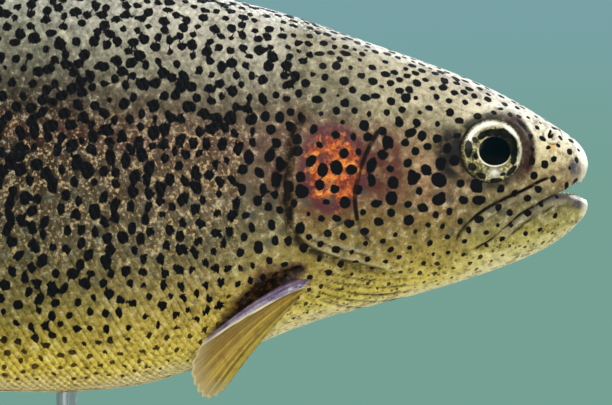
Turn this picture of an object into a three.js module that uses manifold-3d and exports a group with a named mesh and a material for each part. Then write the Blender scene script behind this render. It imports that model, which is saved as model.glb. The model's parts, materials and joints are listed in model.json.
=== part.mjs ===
// Rainbow trout, a life-size display model: the swimming fish on two rods and a flat base.
// Millimetres, +Z up, the fish faces +X, the origin is the centre of the base's underside.
// Along the fish, places are given as the distance behind the snout tip, and heights from its
// centre line.

import * as THREE from 'three';
import { mergeVertices } from 'three/addons/utils/BufferGeometryUtils.js';
import Module from 'manifold-3d';

const wasm = await Module();
wasm.setup();

// ---- Driving dimensions ----

const fish = {
  standardLength: 400,
  snoutForward: 190, // snout tip, ahead of the base's centre
  centreHeight: 140, // centre line over the floor
  swingStart: 170, // the tail swings to the fish's left from here
  swingAtTail: 15,
};

const gap = 0.3; // between neighbouring solids
const aroundBody = 32; // points round one cross section

// Outline of the body: distance behind the snout, then the size there.
const backLine = through([
  [0, 2.2], [2.2, 8.1], [10, 14], [27, 23.8], [64, 37.8], [84, 44.8], [105, 50.6], [135, 57.5],
  [165, 61.3], [188, 62], [235, 57.5], [290, 45], [340, 29.5], [372, 21.5], [392, 20.8], [400, 21.6],
]);
const bellyLine = through([
  [0, -9.5], [2, -12.9], [6.7, -17.4], [13.4, -21.6], [27, -27.2], [47, -33.5], [70.6, -39.5],
  [84, -44.3], [100, -51], [114, -56], [128, -59.6], [150, -61.2], [180, -60.6], [215, -57.5],
  [262, -49], [300, -38.5], [345, -25], [375, -20.3], [400, -21.6],
]);
const halfWidth = through([
  [0, 0], [2, 5.2], [6, 9.1], [15, 12.9], [28, 17], [44, 20.8], [64, 24.3], [80, 25.8], [100, 27.4],
  [150, 29.5], [190, 29.2], [240, 26], [300, 18.5], [345, 12], [380, 7.2], [400, 4.6],
]);
// Height of the widest place between belly (0) and back (1), and how full the section is.
const widestAt = through([[0, 0.55], [28, 0.56], [60, 0.5], [120, 0.46], [300, 0.5], [400, 0.5]]);
const fullness = through([[0, 2.1], [28, 2.15], [60, 2.15], [150, 2.1], [300, 2.05], [400, 2]]);

const trunkCuts = [84, 158, 232, 306]; // the body's lengths part here
const stationStep = 10.5;

// The eye is a flattened ball that stands a little proud of the cheek.
const eye = {
  behindSnout: 28,
  height: 6.2,
  radius: 9.9,
  depth: 4.6,
  centreOut: 14.3,
  faceForward: 0.14, // turned towards the snout, in radians
  sides: 20,
  bands: 10,
};

// Side outlines on the head: distance behind the snout, height.
const mouthCorner = [9.2, -5.5];
const lipLine = [[12.9, -7.3], [16.2, -9.2], [19.3, -10.8], [23.2, -14.4], [27.7, -18.2], [33.9, -21.4]];
const upperLip = [[-3, -1.2], [2.2, -2.6], [5.9, -4.2]];
const lowerLip = [[4.2, -5.7], [2.2, -5.9], [0.6, -7], [-3, -8.6]];
const underJaw = [[-3, -24], [20, -38], [43, -38], [36, -27]];
const gillCoverOutline = [
  [66.5, 20], [75.3, 16.8], [80.6, 11], [82.2, 4.5], [83, -3.1], [82.8, -13.7], [80.4, -18], [76.5, -21.2],
  [70.3, -24], [57.5, -28], [61, -21], [63.6, -15], [65, -10], [65.2, -4], [63.6, 2.5], [60.5, 10],
];
const gillCoverInner = 14; // the covers are the outer part of the head beyond this half width

// Fins: root from the leading to the trailing ray, then the tips of the rays in the same order.
// Places are [behind the snout, to the fish's left, height].
const tailFin = {
  root: [[393, 0, 20], [397, 0, 0], [393, 0, -20]],
  tips: [[446, 0, 58], [452, 0, 52], [443, 0, 26], [438, 0, 0], [443, 0, -26], [452, 0, -52], [446, 0, -58]],
  rootThickness: 4.4,
  tipThickness: 0.7,
};
const dorsalFin = {
  root: [[188, 0, 58], [214, 0, 56.5], [240, 0, 52]],
  tips: [[211, 0, 103], [220, 0, 104], [236, 0, 95], [249, 0, 83], [255, 0, 70], [247, 0, 60]],
  rootThickness: 3.2,
  tipThickness: 0.6,
};
const adiposeFin = {
  root: [[322, 0, 32], [328, 0, 30], [334, 0, 28]],
  tips: [[336, 0, 44], [341, 0, 46.5], [346, 0, 45], [346.5, 0, 41], [341, 0, 36]],
  rootThickness: 3,
  tipThickness: 1,
};
const analFin = {
  root: [[296, 0, -36], [316, 0, -31], [336, 0, -24]],
  tips: [[317, 0, -72], [324, 0, -73], [334, 0, -62], [344, 0, -49], [350, 0, -38], [343, 0, -29]],
  rootThickness: 3,
  tipThickness: 0.6,
};
const pectoralFin = {
  root: [[76.5, -17.3, -27.5], [80.5, -16, -31.5], [84.5, -13.6, -36.5]],
  tips: [
    [106, -31, -45.5], [110.6, -30.5, -53], [110.2, -28.5, -59], [107, -26.5, -61.9], [103, -24, -60.3],
    [98.5, -21, -55], [94.5, -18.5, -48.5],
  ],
  rootThickness: 3.2,
  tipThickness: 0.6,
};
const pelvicFin = {
  root: [[211, -10.5, -54], [216, -7.5, -54.5], [221, -4.6, -54.5]],
  tips: [
    [242, -27, -74], [248, -25.5, -75], [250, -20, -72.5], [246, -13, -68], [238, -7.5, -63],
    [230, -5, -59.5],
  ],
  rootThickness: 3,
  tipThickness: 0.6,
};
const finGrid = { across: 11, out: 4 };

const stand = {
  length: 240,
  width: 112,
  thickness: 18,
  cornerRadius: 10,
  edgeRound: 2,
  rodRadius: 3,
  rodsBehindSnout: [146, 236],
  rodSides: 20,
};

// ---- Curves and placing ----

// A smooth curve through points whose steps grow with the square root of the distance, so that a
// blunt nose and a long tail need few points. It doesn't overshoot between them.
function through(points) {
  const at = points.map((point) => Math.sqrt(Math.max(point[0], 0)));
  const value = points.map((point) => point[1]);
  const slope = at.slice(1).map((end, i) => (value[i + 1] - value[i]) / (end - at[i]));
  const tangent = at.map((_, i) => {
    if (i === 0) return slope[0];
    if (i === at.length - 1) return slope[i - 1];
    if (slope[i - 1] * slope[i] <= 0) return 0;
    const before = at[i] - at[i - 1];
    const after = at[i + 1] - at[i];
    const weightBefore = 2 * after + before;
    const weightAfter = after + 2 * before;
    return (weightBefore + weightAfter) / (weightBefore / slope[i - 1] + weightAfter / slope[i]);
  });
  return (distance) => {
    const where = Math.sqrt(Math.max(distance, 0));
    let i = 0;
    while (i < at.length - 2 && where > at[i + 1]) i += 1;
    const span = at[i + 1] - at[i];
    const t = Math.min(Math.max((where - at[i]) / span, 0), 1);
    const rise = value[i + 1] - value[i];
    const a = span * tangent[i] - rise;
    const b = rise - span * tangent[i + 1];
    return value[i] + rise * t + t * (1 - t) * (a * (1 - t) + b * t);
  };
}

// How far the body is swung to its left at a distance behind the snout.
function swing(behind) {
  const reach = Math.max(behind - fish.swingStart, 0) / (fish.standardLength - fish.swingStart);
  return fish.swingAtTail * reach * reach;
}

function place(behind, left, height) {
  return new THREE.Vector3(fish.snoutForward - behind, left + swing(behind), fish.centreHeight + height);
}

// One cross section of the body as a ring of points, swollen outwards by a margin.
function section(behind, margin = 0) {
  const top = backLine(behind) + margin;
  const bottom = bellyLine(behind) - margin;
  const middle = bottom + (top - bottom) * widestAt(behind);
  const power = 2 / fullness(behind);
  const ring = [];
  for (let i = 0; i < aroundBody; i += 1) {
    const angle = (2 * Math.PI * i) / aroundBody;
    const up = Math.cos(angle);
    const side = Math.sin(angle);
    const reach = up > 0 ? top - middle : middle - bottom;
    const left = (halfWidth(behind) + margin) * Math.sign(side) * Math.abs(side) ** power;
    ring.push(place(behind, left, middle + reach * Math.sign(up) * Math.abs(up) ** power));
  }
  return ring;
}

// ---- Solids ----

function indexed(points, faces) {
  const geometry = new THREE.BufferGeometry();
  const numbers = points.flatMap((point) => [point.x, point.y, point.z]);
  geometry.setAttribute('position', new THREE.Float32BufferAttribute(numbers, 3));
  geometry.setIndex(faces.flat());
  return geometry;
}

// A closed solid through rings that run back from the snout, with a flat end at each end.
function loft(rings) {
  const points = rings.flat();
  const count = rings[0].length;
  const faces = [];
  for (let r = 0; r < rings.length - 1; r += 1) {
    for (let i = 0; i < count; i += 1) {
      const next = (i + 1) % count;
      const a = r * count + i;
      const b = r * count + next;
      faces.push([a, b, b + count], [a, b + count, a + count]);
    }
  }
  [[0, 1], [rings.length - 1, -1]].forEach(([r, facing]) => {
    const centre = rings[r].reduce((sum, p) => sum.add(p), new THREE.Vector3()).divideScalar(count);
    points.push(centre);
    for (let i = 0; i < count; i += 1) {
      const a = r * count + i;
      const b = r * count + ((i + 1) % count);
      faces.push(facing > 0 ? [points.length - 1, b, a] : [points.length - 1, a, b]);
    }
  });
  return indexed(points, faces);
}

function toSolid(geometry) {
  const bare = geometry.clone();
  bare.deleteAttribute('normal');
  bare.deleteAttribute('uv');
  const merged = mergeVertices(bare, 1e-4);
  return new wasm.Manifold(new wasm.Mesh({
    numProp: 3,
    vertProperties: new Float32Array(merged.attributes.position.array),
    triVerts: new Uint32Array(merged.index.array),
  }));
}

function toGeometry(solid) {
  const mesh = solid.getMesh();
  const geometry = new THREE.BufferGeometry();
  geometry.setAttribute('position', new THREE.BufferAttribute(new Float32Array(mesh.vertProperties), 3));
  geometry.setIndex(new THREE.BufferAttribute(new Uint32Array(mesh.triVerts), 1));
  return geometry;
}

// A straight cut through the head, seen from the side, between two distances to the left.
function sideCut(outline, from, to) {
  const shape = new THREE.Shape(outline.map(([behind, height]) => {
    const point = place(behind, 0, height);
    return new THREE.Vector2(point.x, point.z);
  }));
  const geometry = new THREE.ExtrudeGeometry(shape, { depth: to - from, bevelEnabled: false });
  geometry.rotateX(Math.PI / 2);
  geometry.translate(0, to, 0);
  return toSolid(geometry);
}

// The same outline moved out by a margin, for the neighbour's side of a cut.
function grown(outline, margin) {
  const points = outline.map(([x, y]) => new THREE.Vector2(x, y));
  const facing = THREE.ShapeUtils.isClockWise(points) ? -1 : 1;
  const edgeNormal = (from, to) => {
    const along = to.clone().sub(from).normalize();
    return new THREE.Vector2(along.y * facing, -along.x * facing);
  };
  return points.map((point, i) => {
    const before = edgeNormal(points[(i + points.length - 1) % points.length], point);
    const after = edgeNormal(point, points[(i + 1) % points.length]);
    const mitre = before.clone().add(after).multiplyScalar(margin / (1 + before.dot(after)));
    return [point.x + mitre.x, point.y + mitre.y];
  });
}

function stations(from, to, step) {
  const count = Math.max(Math.round((to - from) / step), 2);
  return Array.from({ length: count + 1 }, (_, i) => from + ((to - from) * i) / count);
}

// The head's sections lie closer together towards the blunt snout.
function headStations(to) {
  const count = 19;
  const first = 0.15;
  return Array.from({ length: count + 1 }, (_, i) => first + (to - first) * (i / count) ** 1.8);
}

function mirrored(outline) {
  return outline.map(([behind, left, height]) => [behind, -left, height]);
}

// ---- Body ----

const wholeHead = toSolid(loft(headStations(trunkCuts[0]).map((behind) => section(behind))));
const trunkStations = stations(trunkCuts[0] + stationStep, fish.standardLength + gap, stationStep);
const swollenBody = toSolid(loft(
  [...headStations(trunkCuts[0]), ...trunkStations].map((behind) => section(behind, gap)),
));

function eyeBall(side, margin) {
  const geometry = new THREE.SphereGeometry(1, eye.sides, eye.bands);
  geometry.rotateX(-side * (Math.PI / 2));
  geometry.scale(eye.radius + margin, eye.depth + margin, eye.radius + margin);
  geometry.rotateZ(-side * eye.faceForward);
  const centre = place(eye.behindSnout, side * eye.centreOut, eye.height);
  geometry.translate(centre.x, centre.y, centre.z);
  return geometry;
}

const openMouth = [...upperLip, mouthCorner, ...lowerLip];
const jawOutline = [mouthCorner, ...lowerLip, ...underJaw, ...[...lipLine].reverse()];

function lowerJaw() {
  return toGeometry(wholeHead.intersect(sideCut(jawOutline, -fish.snoutForward, fish.snoutForward)));
}

function gillCoverSide(side) {
  const outer = 60;
  return side > 0 ? [gillCoverInner, outer] : [-outer, -gillCoverInner];
}

function gillCover(side) {
  const [from, to] = gillCoverSide(side);
  return toGeometry(wholeHead.intersect(sideCut(gillCoverOutline, from, to)));
}

function head() {
  const reach = fish.snoutForward;
  let solid = wholeHead.subtract(sideCut(grown(jawOutline, gap), -reach, reach));
  solid = solid.subtract(sideCut(openMouth, -reach, reach));
  [1, -1].forEach((side) => {
    const [from, to] = gillCoverSide(side);
    solid = solid.subtract(sideCut(grown(gillCoverOutline, gap), from - gap, to + gap));
    solid = solid.subtract(toSolid(eyeBall(side, gap)));
  });
  return toGeometry(solid);
}

function bodyLength(from, to) {
  return loft(stations(from, to, stationStep).map((behind) => section(behind)));
}

// ---- Fins ----

function curveOf(places) {
  return new THREE.CatmullRomCurve3(places.map(([behind, left, height]) => place(behind, left, height)));
}

// A fan of rays between the root and the tips, as a plate that thins outwards, cut to the body.
function fin(shape) {
  const root = curveOf(shape.root);
  const tips = curveOf(shape.tips);
  const point = (u, v) => root.getPoint(u).lerp(tips.getPoint(u), v);
  const nudge = 0.01;
  const faces = [];
  const sides = [1, -1].map((side) => {
    const grid = [];
    for (let i = 0; i <= finGrid.across; i += 1) {
      for (let j = 0; j <= finGrid.out; j += 1) {
        const u = i / finGrid.across;
        const v = j / finGrid.out;
        const across = point(Math.min(u + nudge, 1), v).sub(point(Math.max(u - nudge, 0), v));
        const along = point(u, 1).sub(point(u, 0));
        const normal = along.cross(across).normalize();
        const thickness = THREE.MathUtils.lerp(shape.rootThickness, shape.tipThickness, Math.sqrt(v));
        grid.push(point(u, v).addScaledVector(normal, (side * thickness) / 2));
      }
    }
    return grid;
  });
  const row = finGrid.out + 1;
  const total = sides[0].length;
  const quad = (a, b, c, d) => faces.push([a, b, c], [a, c, d]);
  for (let i = 0; i < finGrid.across; i += 1) {
    for (let j = 0; j < finGrid.out; j += 1) {
      const a = i * row + j;
      quad(a, a + 1, a + row + 1, a + row);
      quad(total + a, total + a + row, total + a + row + 1, total + a + 1);
    }
    const rootEdge = i * row;
    const tipEdge = rootEdge + finGrid.out;
    quad(rootEdge, rootEdge + row, total + rootEdge + row, total + rootEdge);
    quad(tipEdge, total + tipEdge, total + tipEdge + row, tipEdge + row);
  }
  for (let j = 0; j < finGrid.out; j += 1) {
    const last = finGrid.across * row + j;
    quad(j, total + j, total + j + 1, j + 1);
    quad(last, last + 1, total + last + 1, total + last);
  }
  const plate = toSolid(indexed(sides.flat(), faces));
  return toGeometry(plate.subtract(swollenBody));
}

function pairedFin(shape, side) {
  return side < 0 ? fin(shape) : fin({ ...shape, root: mirrored(shape.root), tips: mirrored(shape.tips) });
}

// ---- Stand ----

function standBase() {
  const x = stand.length / 2 - stand.edgeRound;
  const y = stand.width / 2 - stand.edgeRound;
  const r = stand.cornerRadius - stand.edgeRound;
  const shape = new THREE.Shape();
  shape.moveTo(-x + r, -y);
  shape.lineTo(x - r, -y);
  shape.absarc(x - r, -y + r, r, -Math.PI / 2, 0);
  shape.lineTo(x, y - r);
  shape.absarc(x - r, y - r, r, 0, Math.PI / 2);
  shape.lineTo(-x + r, y);
  shape.absarc(-x + r, y - r, r, Math.PI / 2, Math.PI);
  shape.lineTo(-x, -y + r);
  shape.absarc(-x + r, -y + r, r, Math.PI, Math.PI * 1.5);
  const geometry = new THREE.ExtrudeGeometry(shape, {
    depth: stand.thickness - 2 * stand.edgeRound,
    curveSegments: 5,
    bevelThickness: stand.edgeRound,
    bevelSize: stand.edgeRound,
    bevelSegments: 2,
  });
  geometry.translate(0, 0, stand.edgeRound);
  return geometry;
}

// A rod from the base's top up to the belly, its top end shaped to the belly.
function standRod(behind) {
  const foot = stand.thickness + gap;
  const top = fish.centreHeight + bellyLine(behind) + stand.rodRadius;
  const geometry = new THREE.CylinderGeometry(stand.rodRadius, stand.rodRadius, top - foot, stand.rodSides);
  geometry.rotateX(Math.PI / 2);
  const foot3 = place(behind, 0, 0);
  geometry.translate(foot3.x, foot3.y, (foot + top) / 2);
  return toGeometry(toSolid(geometry).subtract(swollenBody));
}

// ---- The scene ----

const finishes = {
  skin: { color: 0x8f8652, roughness: 0.45, metalness: 0 },
  fin: { color: 0xa8965a, roughness: 0.5, metalness: 0 },
  eye: { color: 0x14181c, roughness: 0.08, metalness: 0 },
  wood: { color: 0x5b3a24, roughness: 0.4, metalness: 0 },
  steel: { color: 0xb9bcc0, roughness: 0.3, metalness: 1 },
};

const model = new THREE.Group();

function add(name, geometry, finish) {
  const mesh = new THREE.Mesh(geometry, new THREE.MeshStandardMaterial(finishes[finish]));
  mesh.name = name;
  model.add(mesh);
}

add('head', head(), 'skin');
add('lower_jaw', lowerJaw(), 'skin');
[['left', 1], ['right', -1]].forEach(([name, side]) => {
  add(`gill_cover_${name}`, gillCover(side), 'skin');
  add(`eye_${name}`, eyeBall(side, 0), 'eye');
  add(`pectoral_fin_${name}`, pairedFin(pectoralFin, side), 'fin');
  add(`pelvic_fin_${name}`, pairedFin(pelvicFin, side), 'fin');
});

['trunk_front', 'trunk_middle', 'trunk_rear', 'tail_stem'].forEach((name, i) => {
  const end = i + 1 < trunkCuts.length ? trunkCuts[i + 1] : fish.standardLength;
  add(name, bodyLength(trunkCuts[i] + gap, end), 'skin');
});

add('dorsal_fin', fin(dorsalFin), 'fin');
add('adipose_fin', fin(adiposeFin), 'fin');
add('anal_fin', fin(analFin), 'fin');
add('tail_fin', fin(tailFin), 'fin');

add('stand_base', standBase(), 'wood');
add('stand_rod_front', standRod(stand.rodsBehindSnout[0]), 'steel');
add('stand_rod_rear', standRod(stand.rodsBehindSnout[1]), 'steel');

export default model;
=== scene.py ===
import json
import math
from functools import partial
import bpy
import numpy as np
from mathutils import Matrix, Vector

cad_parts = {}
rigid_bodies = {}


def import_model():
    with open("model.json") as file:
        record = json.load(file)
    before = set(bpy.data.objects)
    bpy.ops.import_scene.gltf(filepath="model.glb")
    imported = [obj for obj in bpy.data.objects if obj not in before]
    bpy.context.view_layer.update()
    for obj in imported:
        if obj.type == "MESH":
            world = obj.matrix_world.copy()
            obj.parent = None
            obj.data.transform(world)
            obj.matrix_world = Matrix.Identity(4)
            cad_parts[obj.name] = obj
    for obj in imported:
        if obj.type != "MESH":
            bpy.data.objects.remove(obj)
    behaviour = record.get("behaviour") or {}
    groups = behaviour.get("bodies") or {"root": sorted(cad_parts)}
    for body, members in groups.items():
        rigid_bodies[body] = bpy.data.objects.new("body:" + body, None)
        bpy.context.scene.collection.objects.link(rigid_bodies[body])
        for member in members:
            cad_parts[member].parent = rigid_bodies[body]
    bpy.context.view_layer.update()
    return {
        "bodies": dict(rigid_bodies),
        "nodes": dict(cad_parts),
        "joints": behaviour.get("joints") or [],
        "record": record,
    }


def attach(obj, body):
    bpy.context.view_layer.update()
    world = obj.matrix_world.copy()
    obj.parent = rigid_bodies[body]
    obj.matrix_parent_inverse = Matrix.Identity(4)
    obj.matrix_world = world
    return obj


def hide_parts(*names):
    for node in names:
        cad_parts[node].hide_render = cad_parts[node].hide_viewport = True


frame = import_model()
mm = 0.001
rng = np.random.default_rng(7)

# Places on the fish are in mm: distance behind the snout, to its left, and height over its centre line.
body = {
    "standardLength": 400.0,
    "snoutForward": 190.0,
    "centreHeight": 140.0,
    "swingStart": 170.0,
    "swingAtTail": 15.0,
    "coatDepth": 0.35,      # the scales fill this much between skin and outline
    "headInset": 0.08,
    "mouthCorner": 33.9,
    "rows": 150,            # faces from back to belly on one side
}


def through(points):
    # Smooth curve through points, without overshoot, in the square root of the distance.
    at = np.sqrt(np.array([p[0] for p in points], float))
    value = np.array([p[1] for p in points], float)
    span = np.diff(at)
    slope = np.diff(value) / span
    tangent = np.zeros(len(at))
    tangent[0], tangent[-1] = slope[0], slope[-1]
    for i in range(1, len(at) - 1):
        if slope[i - 1] * slope[i] > 0:
            before, after = 2 * span[i] + span[i - 1], span[i] + 2 * span[i - 1]
            tangent[i] = (before + after) / (before / slope[i - 1] + after / slope[i])

    def curve(distance):
        where = np.sqrt(np.maximum(distance, 0))
        i = np.clip(np.searchsorted(at, where) - 1, 0, len(span) - 1)
        t = np.clip((where - at[i]) / span[i], 0, 1)
        rise = value[i + 1] - value[i]
        a = span[i] * tangent[i] - rise
        b = rise - span[i] * tangent[i + 1]
        return value[i] + rise * t + t * (1 - t) * (a * (1 - t) + b * t)
    return curve


def smooth(low, high, x):
    t = np.clip((np.asarray(x, float) - low) / (high - low), 0, 1)
    return t * t * (3 - 2 * t)


def hump(x, centre, width):
    return np.exp(-((x - centre) / width) ** 2)


def splined(points, count):
    # Catmull-Rom line through points of any dimension.
    p = np.array(points, float)
    p = np.vstack([2 * p[0] - p[1], p, 2 * p[-1] - p[-2]])
    u = np.linspace(0, len(points) - 1, count)
    i = np.clip(u.astype(int), 0, len(points) - 2)
    t = (u - i)[:, None]
    a, b, c, d = p[i], p[i + 1], p[i + 2], p[i + 3]
    bend = 2 * a - 5 * b + 4 * c - d
    return 0.5 * (2 * b + (c - a) * t + bend * t ** 2 + (3 * b - a - 3 * c + d) * t ** 3)


backLine = through([
    (0, 2.2), (2.2, 8.1), (10, 14), (27, 23.8), (64, 37.8), (84, 44.8), (105, 50.6), (135, 57.5),
    (165, 61.3), (188, 62), (235, 57.5), (290, 45), (340, 29.5), (372, 21.5), (392, 20.8), (400, 21.6)])
bellyLine = through([
    (0, -9.5), (2, -12.9), (6.7, -17.4), (13.4, -21.6), (27, -27.2), (47, -33.5), (70.6, -39.5),
    (84, -44.3), (100, -51), (114, -56), (128, -59.6), (150, -61.2), (180, -60.6), (215, -57.5),
    (262, -49), (300, -38.5), (345, -25), (375, -20.3), (400, -21.6)])
halfWidth = through([
    (0, 0), (2, 5.2), (6, 9.1), (15, 12.9), (28, 17), (44, 20.8), (64, 24.3), (80, 25.8), (100, 27.4),
    (150, 29.5), (190, 29.2), (240, 26), (300, 18.5), (345, 12), (380, 7.2), (400, 2.6)])
widestAt = through([(0, 0.55), (28, 0.56), (60, 0.5), (120, 0.46), (300, 0.5), (400, 0.5)])
fullness = through([(0, 2.1), (28, 2.15), (60, 2.15), (150, 2.1), (300, 2.05), (400, 2)])
closedLips = [
    (9.2, -5.5), (12.9, -7.3), (16.2, -9.2), (19.3, -10.9), (23.2, -14.3), (27.7, -18.2), (33.9, -21.4)]
upperLip = through([(0, -2), (2.2, -2.6), (5.9, -4.2)] + closedLips)
lowerLip = through([(0, -7.3), (0.6, -6.9), (2.2, -5.95), (4.2, -5.7)] + closedLips)


def place(behind, left, height):
    reach = np.maximum(behind - body["swingStart"], 0) / (body["standardLength"] - body["swingStart"])
    x = body["snoutForward"] - behind
    y = left + body["swingAtTail"] * reach ** 2
    return np.stack([x, y, body["centreHeight"] + height], -1) * mm


def sectionSizes(s):
    # Top, bottom, height of the widest place, half width there, and the power that rounds the section.
    inset = np.interp(s, [72, 93], [body["headInset"], body["coatDepth"]])
    top, bottom = backLine(s) - inset, bellyLine(s) + inset
    middle = bottom + (top - bottom) * widestAt(s)
    return top, bottom, middle, np.maximum(halfWidth(s) - inset, 0), 2 / fullness(s)


def sectionPoint(s, angle):
    # A point on one side of the skin: angle 0 is the back, pi the belly.
    top, bottom, middle, wide, power = sectionSizes(s)
    up, out = np.cos(angle), np.maximum(np.sin(angle), 0)
    reach = np.where(up > 0, top - middle, middle - bottom)
    return wide * out ** power, middle + reach * np.sign(up) * np.abs(up) ** power


def outAt(s, z):
    # Half width of the skin at a height.
    top, bottom, middle, wide, power = sectionSizes(s)
    reach = np.where(z > middle, top - middle, middle - bottom)
    up = np.clip(np.abs(z - middle) / reach, 0, 1) ** (1 / power)
    return wide * np.sqrt(1 - up ** 2) ** power


def angleAt(s, z):
    top, bottom, middle, wide, power = sectionSizes(s)
    reach = np.where(z > middle, top - middle, middle - bottom)
    up = np.clip(np.abs(z - middle) / reach, 0, 1) ** (1 / power)
    return np.arccos(np.sign(z - middle) * up)


# The skin unrolled in a table: steps along the fish, shares of the way from back to belly, and angles.
unroll = {"along": 400, "shares": 240, "angles": 720}
mmAlong = np.arange(0, unroll["along"] + 1.0)
shares = np.linspace(0, 1, unroll["shares"] + 1)
angles = np.linspace(0, math.pi, unroll["angles"] + 1)


def girthTable():
    # The girth of one side, the angle at each share of it, and the arc up to each angle.
    y, z = sectionPoint(mmAlong[:, None], angles[None, :])
    arc = np.hypot(np.diff(y, axis=1), np.diff(z, axis=1)).cumsum(1)
    arc = np.hstack([np.zeros((len(arc), 1)), arc])
    atShares = np.stack([np.interp(shares * a[-1], a, angles) for a in arc])
    return arc[:, -1], atShares, arc


girths, shareAngles, angleArcs = girthTable()


def girth(s):
    return np.interp(s, mmAlong, girths)


def lookUp(table, row, column):
    # The value between the four nearest ones in a table.
    i = np.clip(row.astype(int), 0, table.shape[0] - 2)
    j = np.clip(column.astype(int), 0, table.shape[1] - 2)
    a, b = row - i, column - j
    return (table[i, j] * (1 - a) * (1 - b) + table[i + 1, j] * a * (1 - b) + table[i, j + 1] * (1 - a) * b
            + table[i + 1, j + 1] * a * b)


def angleAtShare(s, share):
    return lookUp(shareAngles, s, np.clip(share, 0, 1) * unroll["shares"])


def shareAtAngle(s, angle):
    arcShares = angleArcs / np.maximum(girths, 1e-6)[:, None]
    return lookUp(arcShares, s, np.clip(angle / math.pi, 0, 1) * unroll["angles"])


def makeObject(name, points, faces, attributes=None, uv=None, smoothFaces=None):
    # Points are in metres. Faces is a list of index arrays, each with its own number of corners.
    mesh = bpy.data.meshes.new(name)
    mesh.vertices.add(len(points))
    mesh.vertices.foreach_set("co", np.ascontiguousarray(points, np.float32).ravel())
    loops = np.concatenate([f.ravel() for f in faces]).astype(np.int32)
    sizes = np.concatenate([np.full(len(f), f.shape[1]) for f in faces]).astype(np.int32)
    starts = np.concatenate([[0], np.cumsum(sizes)[:-1]]).astype(np.int32)
    mesh.loops.add(len(loops))
    mesh.loops.foreach_set("vertex_index", loops)
    mesh.polygons.add(len(sizes))
    mesh.polygons.foreach_set("loop_start", starts)
    smoothFaces = np.full(len(sizes), True) if smoothFaces is None else smoothFaces
    mesh.polygons.foreach_set("use_smooth", smoothFaces)
    mesh.update(calc_edges=True)
    for key, values in (attributes or {}).items():
        kind, slot = ("FLOAT_VECTOR", "vector") if np.ndim(values) > 1 else ("FLOAT", "value")
        layer = mesh.attributes.new(key, kind, "POINT")
        layer.data.foreach_set(slot, np.ascontiguousarray(values, np.float32).ravel())
    if uv is not None:
        layer = mesh.uv_layers.new(name="OFBake")
        layer.data.foreach_set("uv", np.ascontiguousarray(uv, np.float32).ravel())
    mesh.validate()
    piece = bpy.data.objects.new(name, mesh)
    bpy.context.scene.collection.objects.link(piece)
    return piece


def gridFaces(columns, rows, start=0, flip=False):
    index = start + np.arange(columns * rows).reshape(columns, rows)
    quad = np.stack([index[:-1, :-1], index[:-1, 1:], index[1:, 1:], index[1:, :-1]], -1).reshape(-1, 4)
    return quad[:, ::-1] if flip else quad


def welded(points, quads, values, uv=None):
    # Joins points that coincide and drops the faces that vanish. The uv is per face corner.
    keys = np.round(points / (0.002 * mm)).astype(np.int64)
    first, to = np.unique(keys, axis=0, return_index=True, return_inverse=True)[1:]
    to = to.ravel()
    quads = to[quads]
    same = quads == np.roll(quads, -1, axis=1)
    whole = same.sum(1) == 0
    three = same.sum(1) == 1
    keep = ~same[three]
    triangles = quads[three][keep].reshape(-1, 3)
    faces = [quads[whole], triangles]
    corners = None
    if uv is not None:
        corners = np.concatenate([uv[whole].reshape(-1, 2), uv[three][keep].reshape(-1, 2)])
    return points[first], faces, {k: v[first] for k, v in values.items()}, corners


eye = {
    "at": (28.0, 6.2),
    "seen": 8.7,            # radius of what shows between the lids
    "radius": 9.9,
    "depth": 4.6,
    "out": 14.3,
    "faceForward": 0.2,     # radians
    "pupil": 4.1,
    "lens": 0.3,            # how far the lens stands proud
    "root": 3.0,            # how deep the eyeball's back point lies
}
nostril = {"at": (10.5, 10.6), "radius": 1.5}

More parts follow.
